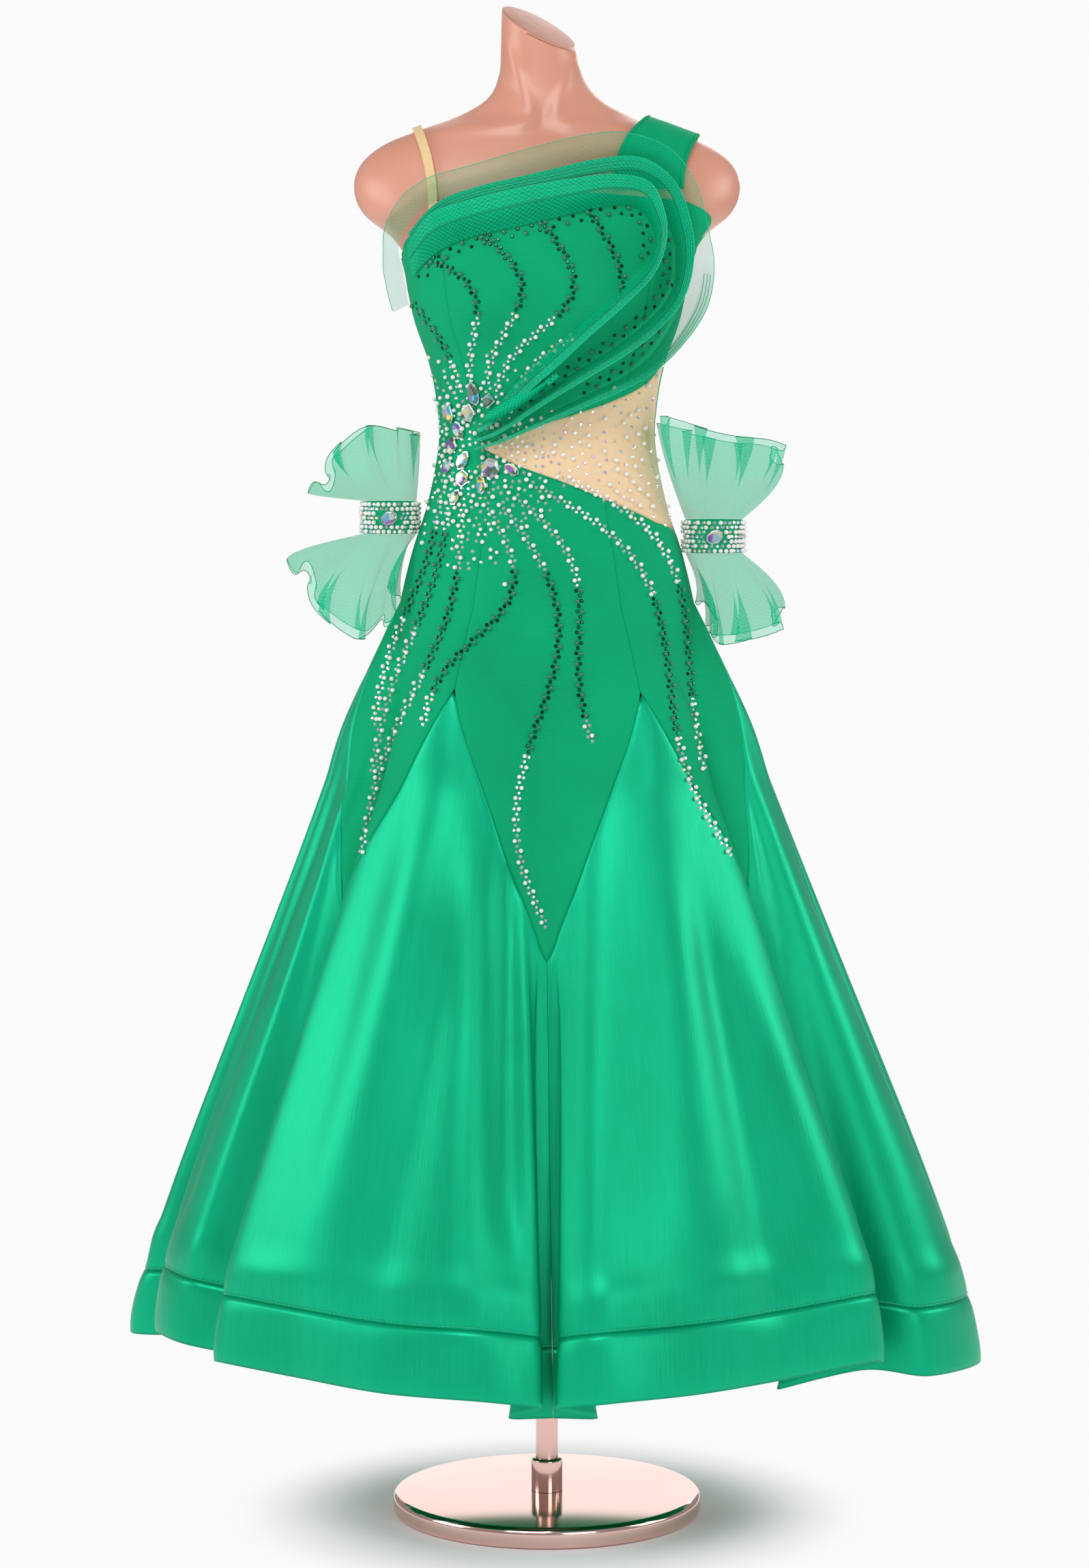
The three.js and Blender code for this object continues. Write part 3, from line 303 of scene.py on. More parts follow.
# %% Fold lines of the skirt
CLOTH_CLEAR = 0.0036
HIP_LINE = 0.940
WAIST_LINE = 1.100
RISE = 0.400  # level -1 lies this far above the hip line
SKIRT_GUIDE = 0.760
HEM_OVAL = {"side": 0.424, "front": 0.262, "back": 0.352}
HEM_BAND = 0.088  # the hem band's share of the skirt's length
FOLDS = table(
    ("angle", "x", "y", "z", "start", "fold"),
    [
        (-180, 0.000, 0.285, 0.160, 0.16, 0.44),
        (-176, -0.022, 0.335, 0.170, 0.15, 0.44),
        (-168, -0.075, 0.362, 0.182, 0.10, 0.30),
        (-150, -0.165, 0.345, 0.185, 0.00, 0.12),
        (-136, -0.262, 0.300, 0.182, 0.05, 0.20),
        (-125, -0.318, 0.232, 0.178, 0.10, 0.34),
        (-120, -0.212, 0.165, 0.158, 0.14, 0.385),
        (-115, -0.330, 0.172, 0.172, 0.10, 0.34),
        (-101, -0.418, 0.128, 0.172, 0.00, 0.10),
        (-94, -0.432, 0.072, 0.170, 0.00, 0.05),
        (-90, -0.350, 0.042, 0.176, 0.00, 0.03),
        (-84, -0.403, 0.008, 0.190, 0.00, 0.05),
        (-74, -0.376, -0.050, 0.188, 0.05, 0.20),
        (-66, -0.308, -0.066, 0.176, 0.10, 0.34),
        (-61, -0.165, -0.102, 0.150, 0.15, 0.385),
        (-57, -0.332, -0.124, 0.185, 0.12, 0.36),
        (-45, -0.246, -0.194, 0.184, 0.05, 0.20),
        (-28, -0.158, -0.250, 0.181, 0.00, 0.12),
        (-10, -0.058, -0.278, 0.179, 0.12, 0.30),
        (-3.5, -0.005, -0.262, 0.168, 0.16, 0.44),
        (-1.5, -0.036, -0.232, 0.152, 0.16, 0.44),
        (0, 0.006, -0.222, 0.150, 0.16, 0.44),
        (1.5, 0.048, -0.232, 0.152, 0.16, 0.44),
        (3.5, 0.009, -0.264, 0.168, 0.16, 0.44),
        (10, 0.062, -0.284, 0.179, 0.12, 0.30),
        (28, 0.150, -0.256, 0.182, 0.00, 0.12),
        (45, 0.238, -0.200, 0.184, 0.05, 0.20),
        (57, 0.338, -0.126, 0.186, 0.12, 0.36),
        (61, 0.234, -0.098, 0.150, 0.15, 0.385),
        (66, 0.322, -0.072, 0.164, 0.10, 0.34),
        (74, 0.388, -0.082, 0.160, 0.05, 0.20),
        (84, 0.447, 0.000, 0.158, 0.00, 0.05),
        (90, 0.382, 0.045, 0.166, 0.00, 0.03),
        (94, 0.440, 0.080, 0.172, 0.00, 0.05),
        (101, 0.424, 0.140, 0.174, 0.00, 0.10),
        (115, 0.335, 0.182, 0.172, 0.10, 0.34),
        (120, 0.215, 0.170, 0.158, 0.14, 0.385),
        (125, 0.322, 0.238, 0.178, 0.10, 0.34),
        (136, 0.262, 0.303, 0.183, 0.05, 0.20),
        (150, 0.165, 0.350, 0.186, 0.00, 0.12),
        (168, 0.075, 0.366, 0.182, 0.10, 0.30),
        (176, 0.024, 0.338, 0.170, 0.15, 0.44),
    ],
)
FOLD_COUNT = len(FOLDS["angle"])
print("the skirt has", FOLD_COUNT, "fold lines")


# %% [markdown]
# One function holds the whole dress: round its girth at s, counted in fold lines, and down its length.
# Every panel is a stretch of it, so that panels meet. The bodice follows the form a small way out, and
# the skirt runs from there to the fold lines at the hem.

# %% The middle of the cloth, all round
def fold(key, s):
    return row_curve(FOLDS[key], s, turn=360.0 if key == "angle" else 0.0)


def cover(angle, z):
    """The skin moved out by the cloth's clearance."""
    step = 0.5
    tall = 0.0005
    round_ = skin(angle + step, z) - skin(angle - step, z)
    down = skin(angle, z - tall) - skin(angle, z + tall)
    out = np.cross(down, round_)
    return skin(angle, z) + CLOTH_CLEAR * out / np.linalg.norm(out, axis=-1, keepdims=True)


def dress(s, level):
    """The middle of the cloth: s counts fold lines round the body, level 0 is the hips, 1 the hem."""
    s, level = np.broadcast_arrays(np.asarray(s, float), np.asarray(level, float))
    angle = fold("angle", s)
    below = np.maximum(level, 0)
    z = np.where(level <= 0, HIP_LINE - RISE * level, HIP_LINE + (fold("z", s) - HIP_LINE) * below)
    body = cover(angle, np.maximum(z, SKIRT_GUIDE))
    start = fold("start", s)
    w = np.maximum(0, below - start) / (1 - start)
    flare = 1.1 * w**1.06 - 0.1 * w**10
    opens = np.maximum(0, fold("fold", s))
    open_ = np.maximum(0, (below - opens) / (1 - opens))
    a = np.radians(angle)
    oval_x = HEM_OVAL["side"] * np.sin(a)
    oval_y = -np.where(np.cos(a) > 0, HEM_OVAL["front"], HEM_OVAL["back"]) * np.cos(a)
    x = body[..., 0] * (1 - flare) + oval_x * flare + (fold("x", s) - oval_x) * open_
    y = body[..., 1] * (1 - flare) + oval_y * flare + (fold("y", s) - oval_y) * open_
    return np.stack([x, y, z], axis=-1)


def outward(surface, a, b, step=2e-3):
    """The direction straight out of a surface, and no longer than 1."""
    round_ = surface(a + step, b) - surface(a - step, b)
    down = surface(a, b + step) - surface(a, b - step)
    out = np.cross(down, round_)
    return out / np.maximum(np.linalg.norm(out, axis=-1, keepdims=True), 1e-12)


# %% [markdown]
# ## Soft creases
# Satin is read by its soft folds. Each crease is a trough or a ridge along the cloth, listed with
# its fold number at the top and at the bottom, the levels where it fades in and out, its width in
# folds and its height. The ones at the sides and the back are of the same kind and as uneven.

# %% Creases, one by one
CREASES = table(
    ("top", "bottom", "high", "low", "width", "height"),
    [
        # front left godet
        (16.9, 15.9, 0.20, 0.90, 0.40, 0.010),
        (17.3, 16.8, 0.35, 0.90, 0.28, -0.009),
        (17.5, 17.7, 0.22, 0.93, 0.26, 0.009),
        (18.0, 18.3, 0.22, 0.80, 0.25, -0.010),
        (18.6, 18.8, 0.35, 0.95, 0.20, 0.006),
        # front right godet
        (24.3, 23.8, 0.18, 0.95, 0.30, 0.006),
        (25.2, 25.0, 0.25, 0.80, 0.50, 0.007),
        (25.6, 25.9, 0.30, 0.92, 0.24, -0.009),
        (26.3, 26.7, 0.40, 0.92, 0.24, 0.008),
        # sides
        (12.6, 12.2, 0.10, 0.90, 0.25, 0.008),
        (11.6, 11.3, 0.15, 0.85, 0.22, -0.007),
        (8.4, 8.7, 0.20, 0.92, 0.30, -0.008),
        (30.2, 30.4, 0.10, 0.92, 0.26, 0.008),
        (30.9, 31.2, 0.20, 0.85, 0.22, -0.007),
        (34.3, 34.0, 0.20, 0.92, 0.30, -0.008),
        # back
        (3.2, 3.6, 0.20, 0.92, 0.34, 0.009),
        (2.6, 2.3, 0.30, 0.85, 0.26, -0.008),
        (4.2, 4.4, 0.35, 0.92, 0.24, -0.007),
        (38.8, 38.4, 0.20, 0.92, 0.34, 0.009),
        (39.5, 39.8, 0.30, 0.88, 0.26, -0.008),
        (37.8, 37.6, 0.30, 0.92, 0.24, -0.007),
    ],
)
# Just above the hem band the satin puffs out and dips again to the stiffened seam, here and there
# more than elsewhere.
PUFFS = table(
    ("fold", "level", "width", "height"),
    [
        (15.7, 0.872, 0.55, 0.006),
        (17.0, 0.862, 0.60, 0.007),
        (18.3, 0.868, 0.50, 0.005),
        (24.0, 0.868, 0.55, 0.006),
        (25.4, 0.858, 0.70, 0.008),
        (26.6, 0.870, 0.45, 0.005),
        (12.2, 0.872, 0.60, 0.005),
        (30.4, 0.868, 0.60, 0.006),
        (8.6, 0.865, 0.70, 0.006),
        (34.2, 0.868, 0.70, 0.006),
        (3.4, 0.862, 0.80, 0.007),
        (38.6, 0.866, 0.80, 0.007),
    ],
)
PUFF_TALL = 0.022
BAND_DIP = 0.0010
CREASE_SHARE = 0.75  # how much of the heights above the cloth takes up
PUFF_SHARE = 0.50


def apart(s, centre):
    """How many folds s is from centre, the short way round."""
    return (s - centre + FOLD_COUNT / 2) % FOLD_COUNT - FOLD_COUNT / 2


def crease_height(s, level):
    total = np.zeros_like(s)
    for top, bottom, high, low, width, height in zip(*CREASES.values()):
        part = np.clip((level - high) / (low - high), 0, 1)
        centre = top + (bottom - top) * part
        fade = smoothstep((level - high) / 0.2) * smoothstep((low + 0.06 - level) / 0.12)
        total = total + CREASE_SHARE * height * fade * hump(apart(s, centre) / (1.15 * width))
    for centre, high, width, height in zip(*PUFFS.values()):
        tall = hump((level - high) / PUFF_TALL)
        total = total + PUFF_SHARE * height * hump(apart(s, centre) / width) * tall
    return total - BAND_DIP * hump((level - (1 - HEM_BAND)) / 0.010)


def worn(s, level):
    """The surface of the dress with its creases."""
    return dress(s, level) + outward(dress, s, level) * crease_height(s, level)[..., None]


# %% [markdown]
# ## Edges of the panels
# A panel runs between two fold lines, from one edge to another. Most edges are level lines or soft
# slopes round the body; the yoke's lower edge is a zigzag, with a point over each seam of the skirt.

# %% Edge lines
YOKE = table(
    ("angle", "level"),
    [(-180, 0.44), (-150, 0.105), (-120, 0.385), (-90, 0.015), (-61, 0.385), (-28, 0.105), (0, 0.44),
     (28, 0.11), (61, 0.37), (90, 0.015), (120, 0.385), (150, 0.105), (180, 0.44)],
)
TOP = table(
    ("angle", "z"),
    [(-180, 1.300), (-120, 1.292), (-90, 1.284), (-57, 1.293), (-28, 1.316), (-10, 1.350), (0, 1.352),
     (28, 1.342), (61, 1.308), (90, 1.284), (120, 1.318), (150, 1.330), (180, 1.300)],
)
INSET_TOP = table(
    ("angle", "z"),
    [(-28, 1.099), (-10, 1.114), (28, 1.148), (61, 1.176), (90, 1.184)],
)
INSET_BOTTOM = table(
    ("angle", "z"),
    [(-28, 1.096), (-10, 1.078), (28, 1.046), (61, 1.022), (90, 1.012)],
)


def angle_at(s):
    angle = fold("angle", s)
    return np.where(angle > 180, angle - 360, angle)


def level_of(z):
    return (HIP_LINE - z) / RISE


def top_edge(s):
    return level_of(np.interp(angle_at(s), TOP["angle"], TOP["z"]))


def inset_top(s):
    return level_of(np.interp(angle_at(s), INSET_TOP["angle"], INSET_TOP["z"]))


def inset_bottom(s):
    return level_of(np.interp(angle_at(s), INSET_BOTTOM["angle"], INSET_BOTTOM["z"]))


def waist(s):
    return np.full_like(s, level_of(WAIST_LINE))


def hips(s):
    return np.zeros_like(s)


def yoke_edge(s):
    return np.interp(angle_at(s), YOKE["angle"], YOKE["level"])


def band_edge(s):
    return np.full_like(s, 1 - HEM_BAND)


def hem_edge(s):
    return np.ones_like(s)


# %% [markdown]
# A seam shows as a thin dark line where two panels turn in and meet. Each panel is the dress between two
# fold lines, less half the gap, and it dips a little towards both sides. A line painted on the cloth
# would be quicker, but it wouldn't catch the light as a seam does.

# %% A panel's own surface
SEAM_GAP = 0.00015
SEAM_DIP = {"deep": 0.0009, "wide": 0.0030}


def panel_surface(first, last, edges):
    """surface(across, down) of a panel between two fold lines; its cloth turns in at the seams."""
    last = last if last > first else last + FOLD_COUNT

    def surface(across, down):
        s = first + (last - first) * across
        blocks = len(edges) - 1
        block = np.minimum((down * blocks).astype(int), blocks - 1)
        levels = np.stack([edge(s) for edge in edges])
        pick = np.arange(len(s))
        part = down * blocks - block
        level = levels[block, pick] * (1 - part) + levels[block + 1, pick] * part
        middle = worn(s, level)
        round_ = worn(s + 1e-3, level) - worn(s - 1e-3, level)
        speed = np.linalg.norm(round_, axis=-1) / 2e-3
        left, right = across * (last - first) * speed, (1 - across) * (last - first) * speed
        top = (level - levels[0]) * RISE
        bottom = (levels[-1] - level) * RISE
        dip = sum(hump(side / SEAM_DIP["wide"]) for side in (left, right, top, bottom))
        out = outward(dress, s, level)
        shift = np.where(across < 0.5, 1, -1) * hump(np.minimum(left, right) / 1e-3) * SEAM_GAP
        along = round_ / np.maximum(np.linalg.norm(round_, axis=-1, keepdims=True), 1e-12)
        return middle - out * (SEAM_DIP["deep"] * np.minimum(dip, 1))[..., None] + along * shift[..., None]

    return surface


# %% [markdown]
# ## Finishes
# Each finish is a Principled shader with nodes for the weave and for small changes of colour. The
# patterns are read in the piece's own coordinates or along its UV map, which is in metres.

# %% A small helper for node materials
class Finish:
    """A material with a Principled shader, and short calls that add nodes to it."""

    def __init__(self, name, color, roughness, metallic=0.0, **values):
        self.material = bpy.data.materials.new(name)
        self.material.use_nodes = True
        self.tree = self.material.node_tree
        self.shader = self.tree.nodes["Principled BSDF"]
        self.set("Base Color", (*color, 1))
        self.set("Roughness", roughness)
        self.set("Metallic", metallic)
        for socket, value in values.items():
            self.set(socket.replace("_", " "), value)

    def set(self, socket, value):
        self.shader.inputs[socket].default_value = value

    def node(self, kind, inputs=None, **settings):
        made = self.tree.nodes.new(kind)
        for key, value in settings.items():
            setattr(made, key, value)
        for key, value in (inputs or {}).items():
            if isinstance(value, bpy.types.NodeSocket):
                self.tree.links.new(value, made.inputs[key])
            else:
                made.inputs[key].default_value = value
        return made

    def coordinates(self, kind, scale):
        source = self.node("ShaderNodeTexCoord").outputs[kind]
        return self.node("ShaderNodeMapping", {"Vector": source, "Scale": scale}).outputs["Vector"]

    def noise(self, kind, scale, detail=3.0, size=1.0):
        inputs = {"Vector": self.coordinates(kind, scale), "Scale": size, "Detail": detail}
        return self.node("ShaderNodeTexNoise", inputs).outputs["Fac"]

    def waves(self, kind, scale, direction, distortion=0.0):
        place = self.coordinates(kind, scale)
        node = self.node(
            "ShaderNodeTexWave",
            {"Vector": place, "Scale": 1.0, "Distortion": distortion, "Detail": 2.0},
            wave_type="BANDS",
            bands_direction=direction,
        )
        return node.outputs["Fac"]

    def math(self, operation, a, b=0.0):
        node = self.node("ShaderNodeMath", {0: a, 1: b}, operation=operation)
        return node.outputs[0]

    def ramp(self, fac, stops):
        node = self.node("ShaderNodeValToRGB", {"Fac": fac})
        ramp = node.color_ramp
        while len(ramp.elements) < len(stops):
            ramp.elements.new(0.5)
        for element, (position, color) in zip(ramp.elements, stops):
            element.position = position
            element.color = (*color, 1)
        return node.outputs["Color"]

    def spread(self, fac, low, high):
        """Maps a pattern from 0..1 to low..high."""
        node = self.node("ShaderNodeMapRange", {"Value": fac, "To Min": low, "To Max": high})
        return node.outputs["Result"]

    def bump(self, height, distance, strength=1.0):
        node = self.node("ShaderNodeBump", {"Height": height, "Distance": distance, "Strength": strength})
        self.link(node.outputs["Normal"], "Normal")

    def link(self, output, socket):
        self.tree.links.new(output, self.shader.inputs[socket])


# %% [markdown]
# Crepe is matt and finely ribbed, satin is smooth and shines along its folds, and stretch mesh is thin
# and the colour of skin. Noise and fine waves vary the tone of each, since a cloth of a single tone
# looks like plastic. The mesh is left opaque, in the tone that net and skin have together.

# %% Crepe, satin and mesh
CREPE_GREEN = ((0.000, 0.310, 0.125), (0.000, 0.370, 0.155), (0.000, 0.420, 0.180))
SATIN_GREEN = ((0.000, 0.350, 0.165), (0.000, 0.450, 0.220), (0.001, 0.530, 0.270))
RIBS_PER_METRE = 620


def make_crepe():
    finish = Finish("crepe", CREPE_GREEN[1], 0.80, Sheen_Weight=0.06, Sheen_Roughness=0.4)
    finish.set("Sheen Tint", (0.1, 0.8, 0.5, 1))
    finish.set("Specular IOR Level", 0.15)
    cloud = finish.noise("Object", (14, 14, 14))
    ribs = finish.waves("Object", (1, 1, RIBS_PER_METRE / 20 * 2 * math.pi), "Z", 0.4)
    shade = finish.math("ADD", finish.math("MULTIPLY", cloud, 0.6), finish.math("MULTIPLY", ribs, 0.4))
    finish.link(finish.ramp(shade, list(zip((0.15, 0.5, 0.85), CREPE_GREEN))), "Base Color")
    finish.bump(ribs, 0.0002, 0.6)
    return finish.material


def make_satin(name, colors=SATIN_GREEN, roughness=0.40):
    finish = Finish(name, colors[1], roughness, metallic=0.55)
    finish.set("Specular IOR Level", 0.25)
    threads = finish.noise("UV", (900, 14, 1), detail=2.0)
    cloud = finish.noise("Object", (9, 9, 5), detail=4.0)
    shade = finish.math("ADD", finish.math("MULTIPLY", threads, 0.35), finish.math("MULTIPLY", cloud, 0.65))
    finish.link(finish.ramp(shade, list(zip((0.2, 0.5, 0.8), colors))), "Base Color")
    finish.link(finish.spread(cloud, roughness - 0.06, roughness + 0.06), "Roughness")
    finish.bump(finish.math("ADD", threads, finish.math("MULTIPLY", cloud, 6.0)), 0.0004, 0.35)
    return finish.material


def make_nude(name, color):
    finish = Finish(name, color, 0.75, Sheen_Weight=0.2)
    across = finish.waves("UV", (70, 70, 1), "DIAGONAL")
    cloud = finish.noise("Object", (20, 20, 20))
    dark, light = [c * 0.93 for c in color], [min(1, c * 1.04) for c in color]
    mixed = finish.math("ADD", finish.math("MULTIPLY", across, 0.08), finish.math("MULTIPLY", cloud, 0.92))
    finish.link(finish.ramp(mixed, [(0.25, dark), (0.75, light)]), "Base Color")
    finish.bump(across, 0.00005, 0.3)
    return finish.material


crepe = make_crepe()
satin = make_satin("satin")
nude_mesh = make_nude("nude_mesh", (0.86, 0.62, 0.38))
nude_elastic = make_nude("nude_elastic", (0.83, 0.60, 0.30))


# %% [markdown]
# Crinoline and organza are nets: what is behind shows between the threads, and every further layer
# makes them darker. The net here is a pair of crossing waves that sets how much each point covers.

# %% Sheer nets
# The organza is a lighter green than the crinoline: partly its own tone, partly painted light standing in for
# the light that passes through its layers.
ORGANZA_GREEN_WITH_PAINTED_LIGHT = ((0.000, 0.480, 0.240), (0.000, 0.740, 0.420))
NET_GREEN = ((0.000, 0.340, 0.150), (0.000, 0.560, 0.280))


def make_net(name, thin, thick, colors=NET_GREEN, threads=420, edge=None, roughness=0.45):
    """thin and thick: how much the net covers between and on its threads."""
    finish = Finish(name, colors[1], roughness)
    finish.set("Specular IOR Level", 0.1)
    one = finish.waves("UV", (threads / 3.2, threads / 3.2, 1), "DIAGONAL")
    turned = finish.node(
        "ShaderNodeMapping",
        {"Vector": finish.node("ShaderNodeTexCoord").outputs["UV"], "Rotation": (0, 0, math.pi / 2)},
    )
    other = finish.node(
        "ShaderNodeTexWave",
        {"Vector": turned.outputs["Vector"], "Scale": threads / 3.2},
        wave_type="BANDS",
        bands_direction="DIAGONAL",
    )
    weave = finish.math("MULTIPLY", finish.math("ADD", one, other.outputs["Fac"]), 0.5)
    cloud = finish.noise("Object", (30, 30, 30))
    mixed = finish.math("ADD", finish.math("MULTIPLY", weave, 0.7), finish.math("MULTIPLY", cloud, 0.3))
    finish.link(finish.ramp(mixed, [(0.2, colors[0]), (0.8, colors[1])]), "Base Color")
    cover_ = finish.spread(mixed, thin, thick)
    if edge:
        part = finish.node("ShaderNodeAttribute", attribute_name="edge").outputs["Fac"]
        cover_ = finish.math("ADD", cover_, finish.math("MULTIPLY", part, edge))
    finish.link(finish.math("MINIMUM", cover_, 1.0), "Alpha")
    finish.bump(weave, 0.0002, 0.5)
    return finish.material


crinoline = make_net("crinoline", 0.52, 0.80, edge=0.35)
crinoline_sheer = make_net("crinoline_sheer", 0.24, 0.42, edge=0.45)
organza = make_net("organza", 0.32, 0.56, colors=ORGANZA_GREEN_WITH_PAINTED_LIGHT)


# %% [markdown]
# The form is painted in one warm tone with a thin coat, and the stand is plated metal. A slow cloud of
# noise through each keeps the surface from looking computed. The neck's cut face has no coat and gets
# its own finish, in a darker tone that is painted shade on that upward face.

# %% Form and stand
def make_form_paint():
    finish = Finish("form_paint", (0.70, 0.30, 0.20), 0.42, Coat_Weight=0.25)
    finish.set("Coat Roughness", 0.3)
    cloud = finish.noise("Object", (7, 7, 7), detail=4.0)
    tones = [(0.3, (0.64, 0.27, 0.18)), (0.7, (0.75, 0.35, 0.25))]
    finish.link(finish.ramp(cloud, tones), "Base Color")
    finish.link(finish.spread(cloud, 0.33, 0.45), "Roughness")
    return finish.material


def make_rose_metal():
    finish = Finish("rose_metal", (0.80, 0.52, 0.46), 0.10, metallic=1.0)
    rings = finish.noise("Object", (3, 3, 3), detail=5.0)
    finish.link(finish.spread(rings, 0.05, 0.16), "Roughness")
    finish.link(finish.ramp(rings, [(0.3, (0.76, 0.48, 0.42)), (0.7, (0.84, 0.58, 0.52))]), "Base Color")
    return finish.material


form_paint = make_form_paint()
# The neck's cut face: a darker tone that paints the shade falling on it.
neck_cut_painted_shade = Finish("neck_cut_painted_shade", (0.55, 0.26, 0.18), 0.6)
cut_cloud = neck_cut_painted_shade.noise("Object", (60, 60, 60))
neck_cut_shade_tones = [(0.3, (0.50, 0.235, 0.16)), (0.7, (0.60, 0.285, 0.20))]
neck_cut_painted_shade.link(neck_cut_painted_shade.ramp(cut_cloud, neck_cut_shade_tones), "Base Color")
rose_metal = make_rose_metal()


# %% [markdown]
# Crystals with a rainbow coating flash yellow, pink and blue. Each small stone carries a number of
# its own, and a ramp turns it into one of those tints. The large stones get their colours from
# cells about as large as a facet.

# %% Stones and pearls
COATING = [
    (0.00, (0.95, 0.95, 1.00)),
    (0.30, (0.90, 0.80, 0.85)),
    (0.45, (0.98, 0.90, 0.55)),
    (0.60, (0.85, 0.62, 0.95)),
    (0.75, (0.55, 0.80, 0.95)),
    (0.90, (0.95, 0.95, 0.92)),
]
FACETS = [
    (0.00, (0.90, 0.85, 0.15)),
    (0.25, (0.95, 0.95, 0.80)),
    (0.42, (0.10, 0.55, 0.85)),
    (0.55, (0.80, 0.85, 0.80)),
    (0.70, (0.45, 0.12, 0.75)),
    (0.85, (0.12, 0.20, 0.15)),
]


def make_small_stone(name, stops, roughness=0.12, metallic=0.75):
    finish = Finish(name, stops[0][1], roughness, metallic=metallic)
    tint = finish.node("ShaderNodeAttribute", attribute_name="tint").outputs["Fac"]
    cells = finish.node(
        "ShaderNodeTexWhiteNoise",
        {"Vector": finish.node("ShaderNodeNewGeometry").outputs["Normal"]},
    ).outputs["Value"]
    mixed = finish.math("ADD", finish.math("MULTIPLY", tint, 0.8), finish.math("MULTIPLY", cells, 0.2))
    finish.link(finish.ramp(mixed, stops), "Base Color")
    return finish.material


def make_large_stone():
    finish = Finish("large_stone", (0.9, 0.9, 0.95), 0.06, metallic=0.55, Coat_Weight=1.0)
    place = finish.coordinates("Object", (1, 1, 1))
    cells = finish.node("ShaderNodeTexVoronoi", {"Vector": place, "Scale": 120.0})
    colour = finish.node("ShaderNodeSeparateColor", {"Color": cells.outputs["Color"]})
    finish.link(finish.ramp(colour.outputs["Red"], FACETS), "Base Color")
    return finish.material


def make_pearl(name, color, metallic=0.0):
    finish = Finish(name, color, 0.22, metallic=metallic, Coat_Weight=0.8, Sheen_Weight=0.2)
    finish.set("Coat Roughness", 0.08)
    cloud = finish.noise("Object", (400, 400, 400), detail=1.0)
    tones = [(0.3, [c * 0.88 for c in color]), (0.7, color)]
    finish.link(finish.ramp(cloud, tones), "Base Color")
    return finish.material


clear_stone = make_small_stone("clear_stone", COATING)
emerald_tones = [(0.0, (0.0, 0.02, 0.012)), (0.5, (0.0, 0.06, 0.035)), (0.9, (0.0, 0.16, 0.09))]
emerald_stone = make_small_stone("emerald_stone", emerald_tones, 0.1, 0.5)
large_stone = make_large_stone()
white_pearl = make_pearl("white_pearl", (0.90, 0.90, 0.86))
green_pearl = make_pearl("green_pearl", (0.0, 0.22, 0.12), 0.35)


def make_silver():
    """Cast silver, a little uneven in tone and polish."""
    finish = Finish("silver", (0.75, 0.75, 0.76), 0.25, metallic=1.0)
    polish = finish.noise("Object", (300, 300, 300))
    finish.link(finish.spread(polish, 0.16, 0.34), "Roughness")
    finish.link(finish.ramp(polish, [(0.3, (0.66, 0.66, 0.68)), (0.7, (0.82, 0.82, 0.83))]), "Base Color")
    return finish.material


def make_thread(name, shaded, lit, roughness):
    """Twisted thread, shaded between its turns."""
    finish = Finish(name, lit, roughness)
    twist = finish.noise("Object", (900, 900, 900))
    finish.link(finish.ramp(twist, [(0.35, shaded), (0.65, lit)]), "Base Color")
    return finish.material


silver = make_silver()
edge_thread = make_thread("edge_thread", (0.01, 0.42, 0.24), (0.03, 0.68, 0.40), 0.4)
fold_thread = make_thread("fold_thread", (0.0, 0.19, 0.08), (0.0, 0.31, 0.14), 0.5)

# %% [markdown]
# ## Stand
# The base, its collar and the pole are turned on a lathe, so each is a short outline spun once round
# the upright axis. The rims are arcs, because a mirror finish shows every flat.

# %% Turned metal
TURN_STEPS = 128


def arc(centre_r, centre_z, radius, start, end, steps=8):
    angles = np.radians(np.linspace(start, end, steps + 1))
    return [(centre_r + radius * math.cos(a), centre_z + radius * math.sin(a)) for a in angles]


def turned(name, outline, node):
    bm = bmesh.new()
    points = [bm.verts.new((radius, 0, z)) for radius, z in outline]
    edges = [bm.edges.new(pair) for pair in zip(points, points[1:])]
    bmesh.ops.spin(
        bm, geom=points + edges, cent=(0, 0, 0), axis=(0, 0, 1), angle=2 * math.pi,
        steps=TURN_STEPS, use_merge=True, use_duplicate=False,
    )
    bmesh.ops.remove_doubles(bm, verts=bm.verts, dist=1e-6)
    bmesh.ops.recalc_face_normals(bm, faces=bm.faces)
    piece = finished(name, bm)
    wear(piece, rose_metal, "stand", node)
    crisp = piece.modifiers.new("crisp", "EDGE_SPLIT")
    crisp.split_angle = math.radians(40)
    return piece


def make_stand():
    low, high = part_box("base_disc")
    radius, height, edge = high.x, high.z, 0.007
    rim = arc(radius - edge, edge, edge, -90, 0) + arc(radius - edge, height - edge, edge, 0, 90)
    turned("stand_base", [(0, 0)] + rim + [(0, height)], "base_disc")
    low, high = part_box("pole_collar")
    inner, chamfer = 0.0118, 0.003
    lip = arc(high.x - chamfer, high.z - chamfer, chamfer, 0, 90, 5)
    ring = [(inner, low.z), (high.x, low.z)] + lip + [(inner, high.z), (inner, low.z)]
    turned("stand_collar", ring, "pole_collar")
    low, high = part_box("pole")
    turned("stand_pole", [(0, low.z), (high.x, low.z), (high.x, high.z), (0, high.z)], "pole")


make_stand()

# %% [markdown]
# ## Dress form
# The form is one smooth shell from the hips to the slanted cut of the neck. A few shallow hollows
# and ridges give it collarbones and the cords of the neck, as shop forms have them.

